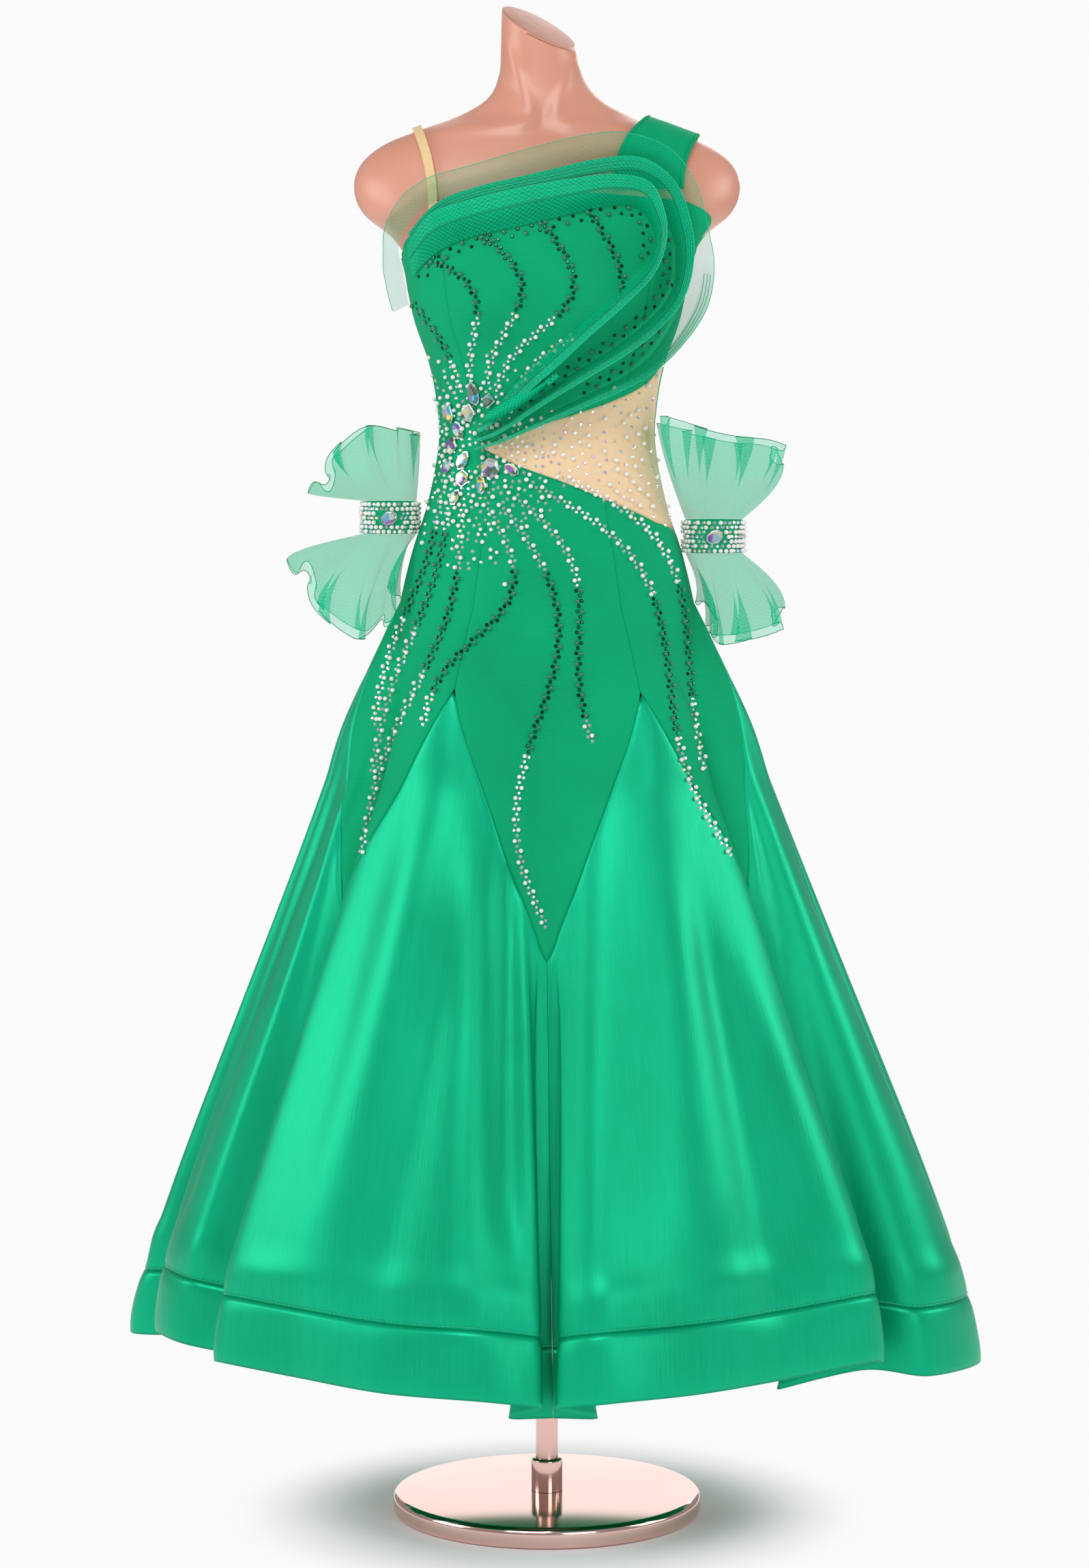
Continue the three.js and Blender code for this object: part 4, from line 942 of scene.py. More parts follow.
# %% The form
NECK_CUT = {"x": -0.006, "z": 1.516, "slope_x": -0.5, "slope_y": 0.32, "from": 1.446, "shade_above": 1.480}
BONES = table(
    ("x1", "z1", "x2", "z2", "wide", "height"),
    [
        (0.020, 1.418, 0.130, 1.412, 0.0070, 0.0035),
        (-0.020, 1.418, -0.130, 1.412, 0.0070, 0.0035),
        (0.050, 1.430, 0.110, 1.424, 0.0100, -0.0035),
        (-0.050, 1.430, -0.110, 1.424, 0.0100, -0.0035),
        (0.030, 1.500, 0.008, 1.425, 0.0060, 0.0030),
        (-0.042, 1.500, -0.014, 1.425, 0.0060, 0.0030),
        (-0.006, 1.412, -0.006, 1.428, 0.0090, -0.0030),
    ],
)


def bone_height(x, z):
    total = np.zeros_like(x)
    for x1, z1, x2, z2, wide, height in zip(*BONES.values()):
        run = np.array([x2 - x1, z2 - z1])
        part = np.clip(((x - x1) * run[0] + (z - z1) * run[1]) / (run @ run), 0, 1)
        distance = np.hypot(x - x1 - part * run[0], z - z1 - part * run[1])
        total = total + height * hump(distance / wide)
    return total


def form_surface(across, down):
    z = 1.530 - (1.530 - 0.700) * down
    angle = 360 * across - 180
    place = skin(angle, z, FORM_BUST)
    ahead = smoothstep(-place[:, 1] / 0.03)
    place[:, 1] -= bone_height(place[:, 0], z) * ahead
    cut = NECK_CUT["z"] + NECK_CUT["slope_x"] * (place[:, 0] - NECK_CUT["x"])
    cut = cut + NECK_CUT["slope_y"] * place[:, 1]
    share = np.clip((z - NECK_CUT["from"]) / (1.530 - NECK_CUT["from"]), 0, 1)
    place[:, 2] = z + (cut - 1.530) * share**1.5
    return place


def make_form():
    piece = sheet_on("form_shell", form_surface, 144, 220, closed=True)
    bm = bmesh.new()
    bm.from_mesh(piece.data)
    caps = bmesh.ops.holes_fill(bm, edges=[e for e in bm.edges if e.is_boundary], sides=0)["faces"]
    for cap in caps:
        cap.smooth = True
    rim = [edge for cap in caps for edge in cap.edges]
    bmesh.ops.bevel(
        bm, geom=rim, offset=0.0022, offset_type="OFFSET", segments=3, profile=0.5,
        affect="EDGES", material=-1,
    )
    bmesh.ops.recalc_face_normals(bm, faces=bm.faces)
    # Upward faces of the neck's cut take the second finish, whose darker tone is painted shade.
    for face in bm.faces:
        if face.normal.z > 0.6 and face.calc_center_median().z > NECK_CUT["shade_above"]:
            face.material_index = 1
    bm.to_mesh(piece.data)
    bm.free()
    wear(piece, form_paint, "form", "dress_form")
    piece.data.materials.append(neck_cut_painted_shade.material)
    return piece


form = make_form()
print("the form has", len(form.data.polygons), "faces")

# %% [markdown]
# ## Crepe gores, the mesh inset and the satin skirt
# Each panel is a sheet on the dress's surface between two fold lines, given a wall and declared with
# the size it was cut to. The outermost columns sit close to the seam, where the cloth turns in.

# %% Panels
CREPE_WALL = 0.0014
SATIN_WALL = 0.0014
HEM_WALL = 0.0022
MESH_WALL = 0.001
BODICE = [top_edge, waist, hips, yoke_edge]
PANELS = [
    ("gore_left", 10, 17, BODICE, 60, 90),
    ("gore_back_left", 3, 10, BODICE, 60, 90),
    ("gore_back_centre", 39, 3, BODICE, 60, 90),
    ("gore_back_right", 32, 39, BODICE, 60, 90),
    ("bodice_centre", 17, 25, [top_edge, inset_top], 64, 48),
    ("bodice_right", 25, 32, [top_edge, inset_top], 60, 40),
    ("hip_centre", 17, 25, [inset_bottom, hips, yoke_edge], 72, 72),
    ("hip_right", 25, 32, [inset_bottom, hips, yoke_edge], 60, 60),
]
GODETS = [
    ("front_left", 14, 21),
    ("front_right", 21, 28),
    ("side_left", 6, 14),
    ("side_right", 28, 36),
    ("back_left", 0, 6),
    ("back_right", 36, 42),
]
cloth_pieces = []


def make_panel(node, first, last, edges, columns, rows, wall, finish, slot):
    points = 1 / (len(edges) - 1) if edges[-1] is yoke_edge else 0.0
    surface = panel_surface(first, last, edges)
    piece = sheet_on(node + "_cloth", surface, columns, rows, edges=0.004, widest=1 - points)
    give_wall(piece, wall)
    wear(piece, finish, slot, node)
    declare_cloth(piece)
    cloth_pieces.append(piece)
    return piece


for node, first, last, edges, columns, rows in PANELS:
    make_panel(node, first, last, edges, columns, rows, CREPE_WALL, crepe, "crepe")
make_panel("mesh_inset", 17, 32, [inset_top, inset_bottom], 96, 30, MESH_WALL, nude_mesh, "nude_mesh")
for place, first, last in GODETS:
    satin_edges = [yoke_edge, band_edge]
    make_panel("godet_" + place, first, last, satin_edges, 84, 90, SATIN_WALL, satin, "satin")
    make_panel("hem_" + place, first, last, [band_edge, hem_edge], 96, 12, HEM_WALL, satin, "satin")

# %% [markdown]
# ## Straps
# A wide crepe strap crosses one shoulder and a thin skin-toned elastic the other. A strap follows
# the body's sections over the shoulder; its two halves meet at the top.

# %% Straps
STRAP_TOP = 0.498
STRAP_LIFT = 0.0006
STRAPS = {
    "strap": ((0.064, 0.134), (0.099, 0.152), 1.353, 1.336),
    "thin_strap": ((-0.116, -0.107), (-0.134, -0.125), 1.331, 1.300),
}


def shoulder_top(x):
    """The height where the form's side reaches out to x."""
    heights = np.linspace(1.446, 1.355, 400)
    return np.interp(np.abs(x), section("side", heights), heights)


def strap_surface(strap, half):
    foot, top, front_z, back_z = STRAPS[strap]

    def surface(across, down):
        ahead = half == "front"
        across = across if ahead else 1 - across
        part = STRAP_TOP * (1 - down)
        rise = np.sin(np.pi * part)
        inner = foot[0] + (top[0] - foot[0]) * rise**2
        outer = foot[1] + (top[1] - foot[1]) * rise**2
        x = inner + (outer - inner) * across
        foot_z = front_z if ahead else back_z
        z = foot_z + (shoulder_top(x) - foot_z) * rise
        power = section("power", z)
        ratio = np.minimum(1, np.abs(x) / section("side", z))
        depth = section("front" if ahead else "back", z) * (1 - ratio**power) ** (1 / power)
        return np.stack([x, -depth if ahead else depth, z], axis=-1)

    def lifted(across, down):
        out = outward(surface, np.clip(across, 0.01, 0.99), np.clip(down, 0.01, 0.99), 5e-3)
        return surface(across, down) + out * (CLOTH_CLEAR + STRAP_LIFT)

    return lifted


for strap, finish, slot, wall in (
    ("strap", crepe, "crepe", CREPE_WALL),
    ("thin_strap", nude_elastic, "nude_mesh", MESH_WALL),
):
    for half in ("front", "back"):
        piece = sheet_on(f"{strap}_{half}_cloth", strap_surface(strap, half), 20, 40)
        give_wall(piece, wall)
        wear(piece, finish, slot, f"{strap}_{half}")
        declare_cloth(piece)

# %% [markdown]
# ## Swirl of crinoline
# Three stiff bands spring from the bodice: up round the bust, down the side and back along a
# diagonal to the brooch. Each is a sheet between its sewn root and its free edge. The free edge is
# folded over and stitched flat in rows, so it covers more there; a vertex attribute marks that part.

# %% Where the bands run
SWIRL_COLUMNS = ("root_x", "root_z", "edge_x", "edge_z", "lift", "bow")
SWIRLS = {
    "swirl_inner": table(SWIRL_COLUMNS, [
        (-0.128, 1.268, -0.132, 1.298, 0.012, 0.004),
        (-0.106, 1.289, -0.113, 1.326, 0.013, 0.005),
        (-0.076, 1.303, -0.082, 1.338, 0.010, 0.006),
        (-0.026, 1.315, -0.028, 1.352, 0.011, 0.006),
        (0.025, 1.327, 0.026, 1.361, 0.013, 0.006),
        (0.062, 1.335, 0.068, 1.365, 0.017, 0.006),
        (0.088, 1.333, 0.100, 1.357, 0.024, 0.005),
        (0.101, 1.314, 0.113, 1.328, 0.030, 0.005),
        (0.101, 1.290, 0.112, 1.296, 0.030, 0.005),
        (0.088, 1.268, 0.100, 1.266, 0.028, 0.005),
        (0.060, 1.244, 0.074, 1.238, 0.026, 0.006),
        (0.030, 1.219, 0.042, 1.210, 0.025, 0.006),
        (0.000, 1.194, 0.012, 1.182, 0.024, 0.006),
        (-0.028, 1.166, -0.018, 1.155, 0.022, 0.006),
        (-0.052, 1.134, -0.044, 1.129, 0.018, 0.005),
        (-0.066, 1.116, -0.064, 1.113, 0.014, 0.003),
    ]),
    "swirl_middle": table(SWIRL_COLUMNS, [
        (-0.128, 1.294, -0.132, 1.311, 0.004, 0.002),
        (-0.104, 1.312, -0.108, 1.338, 0.004, 0.002),
        (-0.068, 1.328, -0.072, 1.352, 0.002, 0.003),
        (-0.002, 1.341, -0.004, 1.368, 0.002, 0.003),
        (0.052, 1.350, 0.054, 1.381, 0.003, 0.003),
        (0.086, 1.353, 0.094, 1.381, 0.008, 0.004),
        (0.108, 1.342, 0.124, 1.359, 0.016, 0.004),
        (0.118, 1.317, 0.138, 1.324, 0.022, 0.005),
        (0.122, 1.292, 0.140, 1.288, 0.025, 0.005),
        (0.118, 1.256, 0.131, 1.250, 0.026, 0.005),
        (0.098, 1.228, 0.108, 1.220, 0.026, 0.005),
        (0.067, 1.202, 0.076, 1.194, 0.026, 0.005),
        (0.033, 1.179, 0.040, 1.170, 0.025, 0.005),
        (-0.008, 1.150, -0.002, 1.143, 0.023, 0.005),
        (-0.045, 1.120, -0.042, 1.115, 0.019, 0.004),
        (-0.068, 1.107, -0.067, 1.104, 0.014, 0.003),
    ]),
    "swirl_outer": table(SWIRL_COLUMNS, [
        (-0.132, 1.240, -0.148, 1.232, 0.003, 0.001),
        (-0.137, 1.272, -0.158, 1.282, 0.003, 0.001),
        (-0.141, 1.308, -0.152, 1.332, 0.001, 0.001),
        (-0.113, 1.338, -0.122, 1.360, 0.001, 0.002),
        (-0.072, 1.346, -0.076, 1.374, 0.001, 0.003),
        (-0.021, 1.360, -0.022, 1.389, 0.001, 0.003),
        (0.039, 1.374, 0.040, 1.404, 0.004, 0.003),
        (0.075, 1.376, 0.080, 1.405, 0.008, 0.003),
        (0.104, 1.369, 0.120, 1.390, 0.012, 0.004),
        (0.123, 1.350, 0.145, 1.357, 0.014, 0.005),
        (0.130, 1.318, 0.156, 1.316, 0.016, 0.005),
        (0.133, 1.282, 0.160, 1.276, 0.018, 0.005),
        (0.128, 1.246, 0.152, 1.236, 0.020, 0.005),
        (0.108, 1.206, 0.126, 1.199, 0.022, 0.005),
        (0.080, 1.176, 0.092, 1.169, 0.023, 0.005),
        (0.033, 1.149, 0.040, 1.142, 0.023, 0.005),
        (-0.018, 1.123, -0.014, 1.117, 0.020, 0.004),
        (-0.050, 1.106, -0.048, 1.102, 0.017, 0.004),
        (-0.070, 1.098, -0.069, 1.095, 0.014, 0.003),
    ]),
}
ROOT_CLEAR = 0.0038
FOLDED_PART = 0.45  # of a band's width is folded over and stitched


def front_of(x, z):
    """The skin's front at a place given by x and z."""
    power = section("power", z)
    across = np.minimum(np.abs(x) / section("side", z), 0.995)
    depth = section("front", z) * (1 - across**power) ** (1 / power)
    return np.stack(np.broadcast_arrays(x, -depth - bust(x, z), z), axis=-1)


def on_front(x, z):
    """The same place, and the direction straight out from it."""
    up = front_of(x, z + 0.003) - front_of(x, z - 0.003)
    across = front_of(x + 0.003, z) - front_of(x - 0.003, z)
    out = np.cross(across, up)
    return front_of(x, z), out / np.linalg.norm(out, axis=-1, keepdims=True)


ROLLED_EDGE = {"high": 0.0016, "at": 0.93, "wide": 0.05}  # at and wide are shares of a band's width


def swirl_surface(rows, raised=0.0):
    count = len(rows["lift"])

    def surface(across, down):
        value = {key: row_curve(column, across * (count - 1), closed=False) for key, column in rows.items()}
        w = 1 - down
        place, out = on_front(value["root_x"], value["root_z"])
        place = place + out * (CLOTH_CLEAR + ROOT_CLEAR)
        arch = value["lift"] * w + value["bow"] * np.sin(np.pi * w)
        curl = ROLLED_EDGE["high"] * hump((w - ROLLED_EDGE["at"]) / ROLLED_EDGE["wide"])
        step = np.stack([(value["edge_x"] - value["root_x"]) * w, -arch - curl,
                         (value["edge_z"] - value["root_z"]) * w], axis=-1)
        return place + step

    def lifted(across, down):
        if not raised:
            return surface(across, down)
        return surface(across, down) + raised * outward(surface, across, down)

    return lifted


# %% [markdown]
# A stitch is far too thin to model face by face. A curve through a list of places, with a bevel for its
# radius, is a round thread of even thickness, and a single curve object can hold all threads of a row.

# %% Curves laid on a surface
def thread(name, lines, radius, finish, closed=False):
    """One piece made of thin round threads; each line is a list of points."""
    data = bpy.data.curves.new(name, "CURVE")
    data.dimensions = "3D"
    data.bevel_depth = radius
    data.bevel_resolution = 0
    for line in lines:
        spline = data.splines.new("POLY")
        spline.points.add(len(line) - 1)
        for point, place in zip(spline.points, line):
            point.co = (*place, 1)
        spline.use_cyclic_u = closed
    piece = bpy.data.objects.new(name, data)
    bpy.context.scene.collection.objects.link(piece)
    data.materials.append(finish)
    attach(piece, "root")
    return piece


# %% [markdown]
# Each band is a strip of net whose edge is folded over and stitched down in rows. The folded part is two
# layers thick and looks denser. A number stored on each vertex says how much of the fold lies there,
# and the net's finish reads it, so one material serves both parts.

# %% Bands, their folded edges and their stitching
STITCH_ROWS = (0.03, 0.14, 0.25, 0.37)
STITCH_RADIUS = 0.00035
FOLD_RADIUS = 0.0004
STITCH_RAISED = 0.0004
DIAGONAL = {"from": 0.60, "fade": 0.12, "stitched": 0.62}  # shares of the outer band's length


def mark_edge(piece, amount):
    """Stores on each vertex how much of the folded edge lies there; amount(across, down)."""
    layer = piece.data.uv_layers["UVMap"].data
    width, length = piece["flat"][0], piece["flat"][1]
    values = np.zeros(len(piece.data.vertices))
    for loop, uv in zip(piece.data.loops, layer):
        values[loop.vertex_index] = amount(uv.uv[0] / width, -uv.uv[1] / length)
    attribute = piece.data.attributes.new("edge", "FLOAT", "POINT")
    attribute.data.foreach_set("value", values)


def folded(across, down):
    return 1.0 if down < FOLDED_PART else 0.25 * (1 - down)


def folded_outer(across, down):
    """The outer band is folded only along the diagonal; elsewhere it is one clear layer."""
    along = min(max((across - DIAGONAL["from"]) / DIAGONAL["fade"], 0), 1)
    return along if down < FOLDED_PART else 0.4 * along


for name, rows in SWIRLS.items():
    surface = swirl_surface(rows)
    sheer = crinoline_sheer if name == "swirl_outer" else crinoline
    piece = sheet_on(name + "_net", surface, 200, 18)
    mark_edge(piece, folded_outer if name == "swirl_outer" else folded)
    wear(piece, sheer, "crinoline", name)
    declare_cloth(piece)
    raised = swirl_surface(rows, STITCH_RAISED)
    line = np.linspace(0.004, 0.996, 260)
    kept = STITCH_ROWS if name != "swirl_outer" else STITCH_ROWS[:1]
    lines = [raised(line, np.full_like(line, down)) for down in kept]
    if name == "swirl_outer":
        low = np.linspace(DIAGONAL["stitched"], 0.996, 120)
        lines += [raised(low, np.full_like(low, down)) for down in STITCH_ROWS[1:]]
    thread(name + "_stitching", lines, STITCH_RADIUS, edge_thread)
    fold_line = [raised(line, np.full_like(line, FOLDED_PART))]
    if name != "swirl_outer":
        thread(name + "_fold", fold_line, FOLD_RADIUS, fold_thread)

# %% [markdown]
# The wide strap is bound along both sides, and a running stitch holds the hem band's seam. A running
# stitch shows as short dashes: each is a thread of two points.

# %% Strap bindings and the hem's running stitch
BINDING = {"in": 0.04, "radius": 0.0011, "raised": 0.0009}
HEM_STITCH = {"level": 0.908, "long": 0.0030, "gap": 0.0020, "radius": 0.00035}


def dashes(places, long, gap):
    """Splits a line of places into short stitches."""
    run = np.concatenate([[0], np.cumsum(np.linalg.norm(np.diff(places, axis=0), axis=1))])
    starts = np.arange(0, run[-1] - long, long + gap)
    ends = np.stack([starts, starts + long], axis=1)
    return np.stack([np.interp(ends, run, places[:, k]) for k in range(3)], axis=-1)


down = np.linspace(0.01, 0.99, 60)
for half in ("front", "back"):
    surface = strap_surface("strap", half)
    sides = []
    for across in (BINDING["in"], 1 - BINDING["in"]):
        at = np.full_like(down, across)
        sides.append(surface(at, down) + outward(surface, at, down) * BINDING["raised"])
    thread(f"strap_binding_{half}", sides, BINDING["radius"], crepe)
around = np.linspace(0, FOLD_COUNT, 3000)
level = np.full_like(around, HEM_STITCH["level"])
hem_places = worn(around, level) + outward(dress, around, level) * (SATIN_WALL / 2 + HEM_STITCH["radius"] / 2)
stitches = dashes(hem_places, HEM_STITCH["long"], HEM_STITCH["gap"])
thread("hem_stitching", stitches, HEM_STITCH["radius"], edge_thread)
print("the hem has", len(stitches), "stitches")

# %% [markdown]
# Between the inner and the middle band a narrow leaf of the same net rises from the brooch and ends
# in a small rolled curl.

# %% The leaf and its curl
LEAF = {"from": (-0.062, 1.120), "to": (0.004, 1.174), "wide": 0.013, "lift": 0.016}
CURL = {"turns": 1.3, "radius": 0.0052, "long": 0.014}


def leaf_surface(across, down):
    (x1, z1), (x2, z2) = LEAF["from"], LEAF["to"]
    run = np.array([x2 - x1, z2 - z1]) / math.hypot(x2 - x1, z2 - z1)
    wide = LEAF["wide"] * np.sin(np.pi * np.clip(across, 0.02, 0.98)) ** 0.6 * (down - 0.5)
    x = x1 + (x2 - x1) * across + run[1] * wide
    z = z1 + (z2 - z1) * across - run[0] * wide
    place, out = on_front(x, z)
    lift = CLOTH_CLEAR + LEAF["lift"] + 0.006 * np.sin(np.pi * down)
    return place + out * (lift * smoothstep(across / 0.25))[..., None] + out * 0.006


def curl_surface(across, down):
    """A strip rolled up like a scroll; its axis runs with the leaf."""
    (x1, z1), (x2, z2) = LEAF["from"], LEAF["to"]
    run = np.array([x2 - x1, 0, z2 - z1]) / math.hypot(x2 - x1, z2 - z1)
    side = np.array([run[2], 0, -run[0]])
    turn = 2 * np.pi * CURL["turns"] * across
    radius = CURL["radius"] * (1 - 0.45 * across)
    centre, out = on_front(np.array(x2), np.array(z2))
    centre = centre + out * (CLOTH_CLEAR + LEAF["lift"] + 0.006)
    along = run * (CURL["long"] * (down - 0.5))[..., None]
    round_ = side * (radius * np.cos(turn))[..., None] + out * (radius * np.sin(turn))[..., None]
    return centre + along + round_


for name, surface, columns, rows in (
    ("swirl_leaf_net", leaf_surface, 40, 12),
    ("swirl_curl_net", curl_surface, 48, 10),
):
    piece = sheet_on(name, surface, columns, rows)
    mark_edge(piece, lambda across, down: 0.8)
    give_wall(piece, 0.0005)
    wear(piece, crinoline, "crinoline")
    declare_cloth(piece)

# %% [markdown]
# ## Wrist cuffs
# A cuff is a crepe ring with an organza ruffle sewn to its top and to its bottom. The ruffle's hem
# follows a ring of eight places. Its pleats swing outwards and sideways, so that they lie over each
# other, and overlapping organza looks darker.

# %% Cuffs and ruffles
CUFF_COLUMNS = ("outward", "y", "z")
CUFFS = {
    "left": {
        "outward": -1, "x": -0.159, "z": 1.026, "radius_x": 0.027, "radius_y": 0.022, "height": 0.032,
        "upper": table(CUFF_COLUMNS, [
            (0.070, 0.000, 0.024), (0.060, -0.034, 0.062), (0.022, -0.048, 0.092), (-0.014, -0.038, 0.088),
            (-0.030, 0.000, 0.082), (-0.014, 0.038, 0.086), (0.020, 0.046, 0.090), (0.058, 0.034, 0.058)]),
        "lower": table(CUFF_COLUMNS, [
            (0.092, 0.000, -0.042), (0.076, -0.036, -0.088), (0.030, -0.046, -0.120), (0.002, -0.044, -0.100),
            (-0.004, 0.000, -0.062), (0.002, 0.044, -0.098), (0.030, 0.046, -0.118), (0.076, 0.036, -0.086)]),
    },
    "right": {
        "outward": 1, "x": 0.169, "z": 1.007, "radius_x": 0.029, "radius_y": 0.022, "height": 0.033,
        "upper": table(CUFF_COLUMNS, [
            (0.070, 0.000, 0.072), (0.058, -0.034, 0.096), (0.008, -0.060, 0.104), (-0.052, -0.072, 0.122),
            (-0.044, -0.030, 0.112), (-0.024, 0.018, 0.104), (0.016, 0.046, 0.094), (0.052, 0.034, 0.090)]),
        "lower": table(CUFF_COLUMNS, [
            (0.072, 0.000, -0.072), (0.056, -0.034, -0.096), (0.014, -0.048, -0.106),
            (-0.002, -0.048, -0.100), (-0.006, 0.000, -0.066), (-0.002, 0.048, -0.098),
            (0.014, 0.048, -0.104), (0.054, 0.034, -0.094)]),
    },
}
RUFFLE_GAP = 0.0006
PLEATS = table(("waves", "phase", "depth", "swing"), [(8, 0.0, 0.007, 0.13), (5, 1.3, 0.006, 0.19)])


def cuff_ring(cuff, across, z):
    turn = 2 * np.pi * across
    return np.stack([cuff["x"] + cuff["radius_x"] * np.sin(turn), -cuff["radius_y"] * np.cos(turn),
                     cuff["z"] + z + 0 * turn], axis=-1)


def cuff_surface(cuff):
    return lambda across, down: cuff_ring(cuff, across, cuff["height"] * (0.5 - down))


def ruffle_surface(cuff, part):
    rows, sign = cuff[part], 1 if part == "upper" else -1

    def surface(across, down):
        w = 1 - down if part == "upper" else down
        start = cuff_ring(cuff, across, sign * (cuff["height"] / 2 + RUFFLE_GAP))
        spot = 8 * (0.25 - cuff["outward"] * across)
        swing = np.zeros_like(across)
        wave = np.zeros_like(across)
        for count, phase, depth, sideways in zip(*PLEATS.values()):
            wave = wave + depth * np.cos(2 * np.pi * count * across + phase)
            swing = swing + sideways * np.sin(4 * np.pi * count * across + 2 * phase)
        spot = spot + swing * w
        end = np.stack([cuff["x"] + cuff["outward"] * row_curve(rows["outward"], spot),
                        row_curve(rows["y"], spot), cuff["z"] + row_curve(rows["z"], spot)], axis=-1)
        away = start - np.array([cuff["x"], 0, 0])
        away[:, 2] = 0
        away /= np.linalg.norm(away, axis=-1, keepdims=True)
        swell = np.sin(w * np.pi / 2)[:, None]
        place = start.copy()
        place[:, :2] += (end - start)[:, :2] * swell
        place[:, 2] += (end - start)[:, 2] * w
        return place + away * (wave * w)[:, None]

    return surface


for side, cuff in CUFFS.items():
    band = sheet_on(f"cuff_{side}_band", cuff_surface(cuff), 72, 8, closed=True)
    give_wall(band, CREPE_WALL)
    wear(band, crepe, "crepe", f"cuff_{side}")
    declare_cloth(band)
    for part in ("upper", "lower"):
        surface = ruffle_surface(cuff, part)
        node = f"ruffle_{part}_{side}"
        ruffle = sheet_on(node + "_organza", surface, 288, 26, closed=True)
        mark_edge(ruffle, lambda across, down: 0.0)
        wear(ruffle, organza, "crinoline", node)
        declare_cloth(ruffle)
        around = np.linspace(0, 1, 288, endpoint=False)
        free = 0.0 if part == "upper" else 1.0
        hem_line = surface(around, np.full_like(around, free))
        thread(node + "_hem", [hem_line], FOLD_RADIUS, fold_thread, closed=True)

# %% [markdown]
# ## Stones and pearls
# The beads are small solids set on the cloth. To find where a bead sits, a ray goes from the front
# to the cloth, and gives the place and the direction straight out. All beads of a kind are copies of
# one small shape, joined in one mesh, and each keeps a random tint from a seeded draw.

# %% Finding the cloth
def cloth_tree():
    """A search tree of all the cloth's faces, and the name of the piece that each face is part of."""
    depsgraph = bpy.context.evaluated_depsgraph_get()
    vertices, faces, owners = [], [], []
    for piece in cloth_pieces:
        mesh = piece.evaluated_get(depsgraph).to_mesh()
        first = len(vertices)
        vertices += [vert.co.copy() for vert in mesh.vertices]
        faces += [[first + i for i in polygon.vertices] for polygon in mesh.polygons]
        owners += [piece.name] * len(mesh.polygons)
    return BVHTree.FromPolygons(vertices, faces), owners


tree, owners = cloth_tree()
print("the search tree has", len(owners), "faces")


def on_cloth(x, z, only=None):
    """The place and the direction out of the cloth's front at x and z, or None off the cloth."""
    place, normal, face, _ = tree.ray_cast(Vector((x, -1.0, z)), Vector((0, 1, 0)))
    if place is None or (only and owners[face] != only):
        return None
    return place, normal if normal.y < 0 else -normal


def facing(place, out, size, twist=0.0, sink=0.0):
    """A matrix that sets a shape of size 1 on a place, its own Z straight out."""
    turn = out.to_track_quat("Z", "Y").to_matrix().to_4x4()
    moved = Matrix.Translation(place - out * sink)
    return moved @ turn @ Matrix.Rotation(twist, 4, "Z") @ Matrix.Diagonal((*size, 1))


# %% [markdown]
# Pearls are round and stones are cut, and hundreds of each are sewn on. Each kind is modelled
# once with a few dozen faces and then copied, because nothing finer would be seen at this size.

# %% One shape for each kind of bead
def pearl_shape():
    bm = bmesh.new()
    bmesh.ops.create_uvsphere(bm, u_segments=8, v_segments=5, radius=0.5)
    bmesh.ops.translate(bm, verts=bm.verts, vec=(0, 0, 0.42))
    return shape_of("pearl_shape", bm)


def stone_shape():
    bm = bmesh.new()
    bmesh.ops.create_cone(bm, cap_ends=True, segments=8, radius1=0.5, radius2=0.27, depth=0.5)
    bmesh.ops.translate(bm, verts=bm.verts, vec=(0, 0, 0.25))
    return shape_of("stone_shape", bm)


def shape_of(name, bm):
    mesh = bpy.data.meshes.new(name)
    bm.to_mesh(mesh)
    bm.free()
    return mesh


PEARL = pearl_shape()
STONE = stone_shape()
draw = np.random.default_rng(7)


def joined_copies(name, shape, placings, finish):
    """Copies of a shape in one mesh, each with a tint of its own."""
    bm = bmesh.new()
    for matrix in placings:
        copy = shape.copy()
        copy.transform(matrix)
        bm.from_mesh(copy)
        bpy.data.meshes.remove(copy)
    piece = finished(name, bm, smooth=shape is PEARL)
    tints = np.repeat(draw.random(len(placings)), len(shape.vertices))
    piece.data.attributes.new("tint", "FLOAT", "POINT").data.foreach_set("value", tints)
    wear(piece, finish, "crystal")
    print(f"{name}: {len(placings)} beads, {len(piece.data.polygons)} faces")


# %% [markdown]
# The strands spread like a fan from the brooch. On the bodice a strand's head is a place along the
# inner band's root, or the outer band's first point where root is negative, and its foot is given
# from the brooch. On the hips the head is given from the brooch and the foot is a fold line and a
# level of the dress. bow bends a strand towards the viewer's right and sway bends it one way above
# and the other way below, as shares of its length.

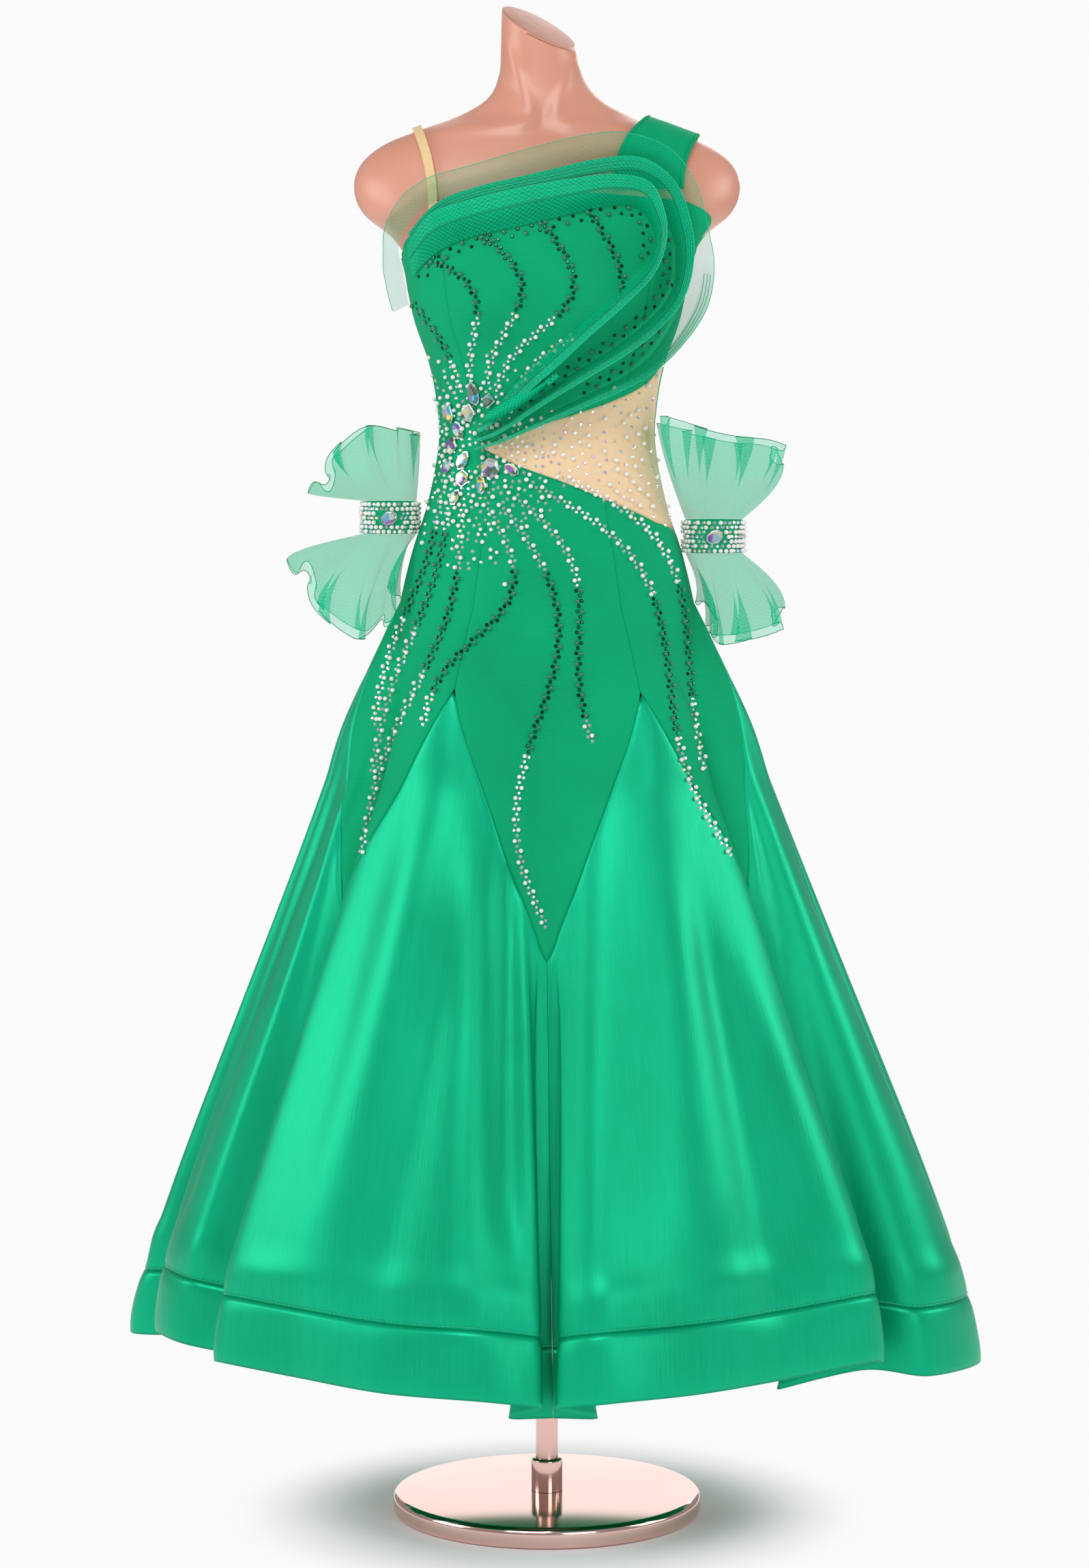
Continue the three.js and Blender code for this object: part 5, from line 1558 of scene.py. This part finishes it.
# %% Strands
BROOCH = (-0.076, 1.100)
BODICE_STRANDS = table(
    ("root", "bearing", "stop", "bow", "sway", "dark"),
    [
        (-1.0, -10, 0.050, 0.07, 0.00, 0.62),
        (0.75, 0, 0.058, 0.20, 0.06, 0.50),
        (2.30, 15, 0.060, 0.21, 0.08, 0.52),
        (3.40, 25, 0.060, 0.22, 0.10, 0.52),
        (4.40, 42, 0.064, 0.24, 0.11, 0.63),
    ],
)
HIP_STRANDS = table(
    ("bearing", "stop", "fold", "level", "bow", "sway", "dark_from", "dark_to"),
    [
        (212, 0.055, 12.6, 0.160, 0.00, 0.02, 0.15, 0.55),
        (200, 0.062, 13.2, 0.220, 0.00, 0.02, 0.10, 0.45),
        (188, 0.060, 14.4, 0.320, 0.02, 0.03, 0.18, 0.46),
        (165, 0.060, 16.5, 0.160, 0.15, 0.09, 0.28, 0.86),
        (152, 0.065, 21.0, 0.400, 0.04, 0.075, 0.18, 0.60),
        (138, 0.068, 24.2, 0.180, 0.10, 0.05, 0.42, 0.90),
        (122, 0.072, 27.7, 0.320, 0.09, 0.06, 0.38, 0.70),
        (108, 0.092, 27.8, 0.210, 0.17, 0.04, 0.48, 0.80),
    ],
)
BEAD_STEP = 0.0052
ROW_STEP = 0.0070
PAIR_APART = 0.0023
PEARL_SIZE = (0.0048, 0.0048, 0.0048)
STONE_SIZE = (0.0043, 0.0043, 0.0036)
beads = {"white_pearl": [], "clear_stone": [], "green_pearl": [], "emerald_stone": []}
bead_spots = []


def from_brooch(bearing, distance):
    """A place at a bearing from upright, towards the viewer's right, and a distance."""
    turn = math.radians(bearing)
    return np.array([BROOCH[0] + distance * math.sin(turn), BROOCH[1] + distance * math.cos(turn)])


def bent(head, foot, bow, sway, steps=200):
    """A line from head to foot; bow and sway are shares of its length."""
    t = np.linspace(0, 1, steps)[:, None]
    chord = foot - head
    right = np.array([-chord[1], chord[0]])
    return head + chord * t + right * (bow * np.sin(np.pi * t) + sway * np.sin(2 * np.pi * t))


def stepped(line, step):
    """Places at even steps along a line, each with its side direction and its share of the way."""
    run = np.concatenate([[0], np.cumsum(np.linalg.norm(np.diff(line, axis=0), axis=1))])
    for at in np.arange(0, run[-1], step):
        place, ahead = ([np.interp(at + more, run, line[:, k]) for k in range(2)] for more in (0, step / 4))
        along = np.array(ahead) - place
        along /= max(np.linalg.norm(along), 1e-9)
        yield np.array(place), np.array([along[1], -along[0]]), at / run[-1]


def set_bead(kind, x, z, scale=1.0, only=None):
    found = on_cloth(x, z, only)
    if found is None:
        return
    size = PEARL_SIZE if kind.endswith("pearl") else STONE_SIZE
    twist = 2 * math.pi * float(draw.random())
    beads[kind].append(facing(*found, [scale * part for part in size], twist, sink=0.0002))
    bead_spots.append((x, z))


def set_strand(line, dark_from, dark_to):
    """A pearl beside a stone, then one stone in the middle, and the pearl changes sides."""
    for i, (place, side, share) in enumerate(stepped(line, BEAD_STEP)):
        dark = dark_from <= share <= dark_to
        pearl, stone = ("green_pearl", "emerald_stone") if dark else ("white_pearl", "clear_stone")
        flip = 1 if i % 4 < 2 else -1
        if i % 2:
            set_bead(stone, *(place + side * PAIR_APART * 0.3 * flip))
        else:
            set_bead(pearl, *(place + side * PAIR_APART * flip))
            set_bead(stone, *(place - side * PAIR_APART * flip))


inner, outer = SWIRLS["swirl_inner"], SWIRLS["swirl_outer"]


def root_place(rows, at):
    return np.array([float(row_curve(rows[key], np.array(at), closed=False)) for key in ("root_x", "root_z")])


for root, bearing, stop, bow, sway, dark in zip(*BODICE_STRANDS.values()):
    head = root_place(outer, 0.0) if root < 0 else root_place(inner, root)
    set_strand(bent(head, from_brooch(bearing, stop), bow, sway), 0, dark)
for bearing, stop, line, level, bow, sway, dark_from, dark_to in zip(*HIP_STRANDS.values()):
    foot = dress(line, level)
    set_strand(bent(from_brooch(bearing, stop), foot[[0, 2]], bow, sway), dark_from, dark_to)
print("the strands have", len(bead_spots), "beads")

# %% [markdown]
# Loose zigzags of dark stones follow the roots of the bands: along the inner one from the side to
# where it turns down, and along the two others down the side and the diagonal.

# %% Rows along the roots
ROOT_ROWS = [
    ("swirl_inner", 0.0, 8.5, -0.004),
    ("swirl_middle", 7.0, 13.5, -0.003),
    ("swirl_outer", 11.5, 15.0, -0.004),
]
ROOT_ZIGZAG = 0.003
for band, first, last, inward in ROOT_ROWS:
    rows = SWIRLS[band]
    line = np.array([root_place(rows, at) for at in np.linspace(first, last, 160)])
    for i, (place, side, _) in enumerate(stepped(line, ROW_STEP)):
        kind = "green_pearl" if i % 3 == 2 else "emerald_stone"
        sign = 1 if i % 2 else -1
        set_bead(kind, *(place + side * (ROOT_ZIGZAG * sign - inward)))

# %% [markdown]
# ## Brooch
# A cluster of large cut stones in thin silver settings. Each starts as a flat disc with as many sides
# as the stone, drawn out to its length; it is extruded upwards and drawn in twice, which leaves the
# girdle, a ring of facets and the table.

# %% Large stones
STONE_HEIGHT = 0.005
STONE_CLEAR = 0.0014
STONE_BEND = 0.250
LEVELS = table(("height", "wide"), [(0.25, 1.0), (0.70, 0.86), (1.0, 0.70)])
SETTING = {"height": 0.0012, "wider": 0.0012, "back": 0.0006}
LARGE = table(
    ("x", "z", "long", "wide", "turn", "sides"),
    [
        (-0.070, 1.153, 0.022, 0.011, -8, 8),
        (-0.093, 1.133, 0.020, 0.012, -20, 6),
        (-0.075, 1.133, 0.018, 0.015, 15, 5),
        (-0.056, 1.146, 0.013, 0.012, 10, 4),
        (-0.084, 1.115, 0.017, 0.010, -25, 8),
        (-0.090, 1.099, 0.018, 0.014, 10, 4),
        (-0.080, 1.084, 0.019, 0.010, 30, 8),
        (-0.095, 1.077, 0.014, 0.007, 35, 8),
        (-0.054, 1.077, 0.020, 0.019, 45, 6),
        (-0.034, 1.076, 0.015, 0.008, -55, 8),
        (-0.081, 1.066, 0.015, 0.014, 0, 6),
        (-0.063, 1.060, 0.018, 0.008, -8, 8),
        (-0.088, 1.047, 0.015, 0.008, 25, 8),
    ],
)
LARGE_NAMES = [
    "stone_top", "stone_purple", "stone_yellow", "stone_violet", "stone_clear", "stone_dark",
    "stone_left", "stone_outer_left", "stone_blue", "stone_inset", "stone_hexagon", "stone_low",
    "stone_lowest",
]


def upright_frame(place, out, turn):
    """A matrix with Z straight out and Y upright, turned towards the viewer's right."""
    out = Vector(out).normalized()
    up = (Vector((0, 0, 1)) - out * out.z).normalized()
    right = up.cross(out)
    long_axis = up * math.cos(math.radians(turn)) + right * math.sin(math.radians(turn))
    frame_ = Matrix((long_axis.cross(out), long_axis, out)).transposed().to_4x4()
    return Matrix.Translation(place) @ frame_


def cut_stone(long, wide, sides, levels, height):
    bm = bmesh.new()
    bmesh.ops.create_circle(bm, cap_ends=True, segments=int(sides), radius=0.5)
    top = bm.faces[:][0]
    before = 1.0
    for level, share in zip(levels["height"], levels["wide"]):
        made = bmesh.ops.extrude_face_region(bm, geom=[top])["geom"]
        verts = [item for item in made if isinstance(item, bmesh.types.BMVert)]
        upper = [item for item in made if isinstance(item, bmesh.types.BMFace)][0]
        if level != levels["height"][0]:
            bmesh.ops.delete(bm, geom=[top], context="FACES_ONLY")
        for vert in verts:
            vert.co.z = level * height
        bmesh.ops.scale(bm, verts=verts, vec=(share / before, share / before, 1))
        top = upper
        before = share
    bmesh.ops.scale(bm, verts=bm.verts, vec=(wide, long, 1))
    bmesh.ops.recalc_face_normals(bm, faces=bm.faces)
    return bm


def large_stone_piece(name, place, out, long, wide, turn, sides, node):
    bm = cut_stone(long, wide, sides, LEVELS, STONE_HEIGHT)
    bmesh.ops.transform(bm, matrix=upright_frame(place, out, turn), verts=bm.verts)
    piece = finished(name, bm, smooth=False)
    wear(piece, large_stone, "crystal", node)
    rim = cut_stone(long + 2 * SETTING["wider"], wide + 2 * SETTING["wider"], sides,
                    table(("height", "wide"), [(1.0, 1.0)]), SETTING["height"])
    back = Vector(place) - Vector(out).normalized() * SETTING["back"]
    bmesh.ops.transform(rim, matrix=upright_frame(back, out, turn), verts=rim.verts)
    wear(finished(name + "_setting", rim, smooth=False), silver, "crystal")


for name, x, z, long, wide, turn, sides in zip(LARGE_NAMES, *LARGE.values()):
    place, out = on_front(np.array(x), np.array(z))
    lift = CLOTH_CLEAR + STONE_CLEAR + long**2 / STONE_BEND
    large_stone_piece(name + "_cut", place + out * lift, out, long, wide, turn, sides, name)
print(len(LARGE_NAMES), "large stones on the brooch")

# %% [markdown]
# ## Spray, inset and cuffs
# Small stones and pearls are thick round the brooch and thin out away from it. Each draw picks a
# place; it is kept only when the cloth is there and no other bead is too near.

# %% Scattered beads
SPRAY = {"beads": 330, "reach": 0.036, "apart": 0.0052, "clear": 0.012, "drop": 0.012}
INSET = {"beads": 75, "apart": 0.0085, "left": -0.045, "right": 0.125, "low": 1.015, "high": 1.180}
CROWDING = 1.35  # above 1 draws the inset's beads towards its left
PEARL_SHARE = 0.42
SMALLEST_BEAD = 0.85
BEAD_RANGE = 0.25


def free_spot(x, z, apart):
    return all(math.hypot(x - a, z - b) > apart for a, b in bead_spots)


def scatter(count, pick, apart, only=None, tries=9000):
    placed = len(bead_spots)
    for _ in range(tries):
        x, z = pick()
        if free_spot(x, z, apart):
            kind = "white_pearl" if draw.random() < PEARL_SHARE else "clear_stone"
            set_bead(kind, x, z, SMALLEST_BEAD + BEAD_RANGE * float(draw.random()), only)
        if len(bead_spots) - placed >= count:
            break
    return len(bead_spots) - placed


def near_brooch():
    distance = SPRAY["reach"] * abs(draw.normal()) + SPRAY["clear"]
    return from_brooch(360 * draw.random(), distance) + np.array([0, -SPRAY["drop"]])


def on_inset():
    """Denser towards the inset's point, at the left."""
    x = INSET["left"] + (INSET["right"] - INSET["left"]) * draw.random() ** CROWDING
    return x, INSET["low"] + (INSET["high"] - INSET["low"]) * draw.random()


print("spray:", scatter(SPRAY["beads"], near_brooch, SPRAY["apart"]))
print("inset:", scatter(INSET["beads"], on_inset, INSET["apart"], only="mesh_inset_cloth"))

# %% [markdown]
# A cuff is covered in rows of beads, each row shifted by half a bead against the one below, and one
# large stone is sewn over its front. The beads under that stone are left out.

# %% Beads and one large stone on each cuff
CUFF_ROWS = 7
CUFF_BEADS = 34
CUFF_PEARL_SHARE = 0.55
CUFF_SINK = 0.0002
CUFF_STONE = {"long": 0.016, "wide": 0.012, "turn": 60, "sides": 8, "clear": 0.0009}
BARE = {"across": 0.010, "up": 0.007}  # no beads this near the middle of a cuff's stone
for side, cuff in CUFFS.items():
    for row in range(CUFF_ROWS):
        for i in range(CUFF_BEADS):
            across = (i + 0.5 * (row % 2)) / CUFF_BEADS
            height = cuff["height"] * ((row + 0.5) / CUFF_ROWS - 0.5)
            place = cuff_ring(cuff, np.array(across), np.array(height))
            out = Vector((place[0] - cuff["x"], place[1], 0)).normalized()
            level_near = place[1] < 0 and abs(height) < BARE["up"]
            near = abs(place[0] - cuff["x"]) < BARE["across"] and level_near
            kind = "white_pearl" if draw.random() < CUFF_PEARL_SHARE else "clear_stone"
            if not near:
                size = PEARL_SIZE if kind == "white_pearl" else STONE_SIZE
                spot = Vector(place) + out * CREPE_WALL / 2
                beads[kind].append(facing(spot, out, size, sink=CUFF_SINK))
    y = -cuff["radius_y"] - CREPE_WALL / 2 - CUFF_STONE["clear"]
    large_stone_piece(f"cuff_stone_{side}_cut", (cuff["x"], y, cuff["z"]), (0, -1, 0), CUFF_STONE["long"],
                      CUFF_STONE["wide"], CUFF_STONE["turn"], CUFF_STONE["sides"], f"cuff_stone_{side}")

for kind, finish in (
    ("white_pearl", white_pearl),
    ("clear_stone", clear_stone),
    ("green_pearl", green_pearl),
    ("emerald_stone", emerald_stone),
):
    shape = PEARL if kind.endswith("pearl") else STONE
    joined_copies(kind + "s", shape, beads[kind], finish)
bpy.data.meshes.remove(PEARL)
bpy.data.meshes.remove(STONE)

# %% [markdown]
# ## Lights and floor
# A large soft light in front and above, weaker ones at the sides and the back, and a pale floor. The
# satin needs some darkness round it to show its folds, so the room is dim for the cloth and only the
# camera sees it white.

# %% Lights, floor and room
LIGHTS = [
    ("key", (-0.9, -3.0, 3.3), 2.0, 66),
    ("front_fill", (1.6, -3.6, 1.3), 1.6, 20),
    ("left_side", (-3.2, -0.6, 1.6), 1.6, 30),
    ("right_side", (3.2, -0.2, 1.8), 1.6, 30),
    ("back", (0.6, 3.4, 2.6), 2.2, 70),
    ("low_back", (0.0, 3.0, 0.9), 2.2, 14),
]
ROOM_LIGHT = 0.34
WHITE = 0.96
AIM = Vector((0, 0, 0.85))


def make_lights():
    for name, place, size, power in LIGHTS:
        data = bpy.data.lights.new(name, "AREA")
        data.shape = "SQUARE"
        data.size = size
        data.energy = power
        light = bpy.data.objects.new(name, data)
        light.location = place
        light.rotation_euler = (AIM - Vector(place)).to_track_quat("-Z", "Y").to_euler()
        light.visible_camera = False
        bpy.context.scene.collection.objects.link(light)


def make_room():
    world = bpy.data.worlds.new("room")
    bpy.context.scene.world = world
    world.use_nodes = True
    tree = world.node_tree
    tree.nodes.clear()
    seen = tree.nodes.new("ShaderNodeLightPath").outputs["Is Camera Ray"]
    white, dim = tree.nodes.new("ShaderNodeBackground"), tree.nodes.new("ShaderNodeBackground")
    white.inputs["Color"].default_value = (WHITE, WHITE, WHITE * 1.01, 1)
    dim.inputs["Color"].default_value = (ROOM_LIGHT, ROOM_LIGHT, ROOM_LIGHT, 1)
    mix = tree.nodes.new("ShaderNodeMixShader")
    tree.links.new(seen, mix.inputs[0])
    tree.links.new(dim.outputs[0], mix.inputs[1])
    tree.links.new(white.outputs[0], mix.inputs[2])
    tree.links.new(mix.outputs[0], tree.nodes.new("ShaderNodeOutputWorld").inputs[0])


def make_floor():
    """A pale disc that fades into the white of the room."""
    bm = bmesh.new()
    bmesh.ops.create_circle(bm, cap_ends=True, segments=96, radius=4.0)
    floor = finished("floor", bm)
    finish = Finish("floor", (0.95, 0.95, 0.96), 0.9)
    place = finish.coordinates("Object", (1, 1, 1))
    far = finish.node("ShaderNodeVectorMath", {0: place}, operation="LENGTH").outputs["Value"]
    glow = finish.node("ShaderNodeEmission", {"Color": (WHITE, WHITE, WHITE * 1.01, 1)})
    part = finish.node(
        "ShaderNodeMapRange",
        {"Value": far, "From Min": 0.165, "From Max": 0.34, "To Min": 0.0, "To Max": 1.0},
        interpolation_type="SMOOTHSTEP",
    ).outputs["Result"]
    mix = finish.node("ShaderNodeMixShader", {0: part, 1: finish.shader.outputs[0], 2: glow.outputs[0]})
    finish.tree.links.new(mix.outputs[0], finish.tree.nodes["Material Output"].inputs["Surface"])
    floor.data.materials.append(finish.material)


make_lights()
make_room()
make_floor()
bpy.context.scene.view_settings.view_transform = "Standard"
print(len(LIGHTS), "soft lights")
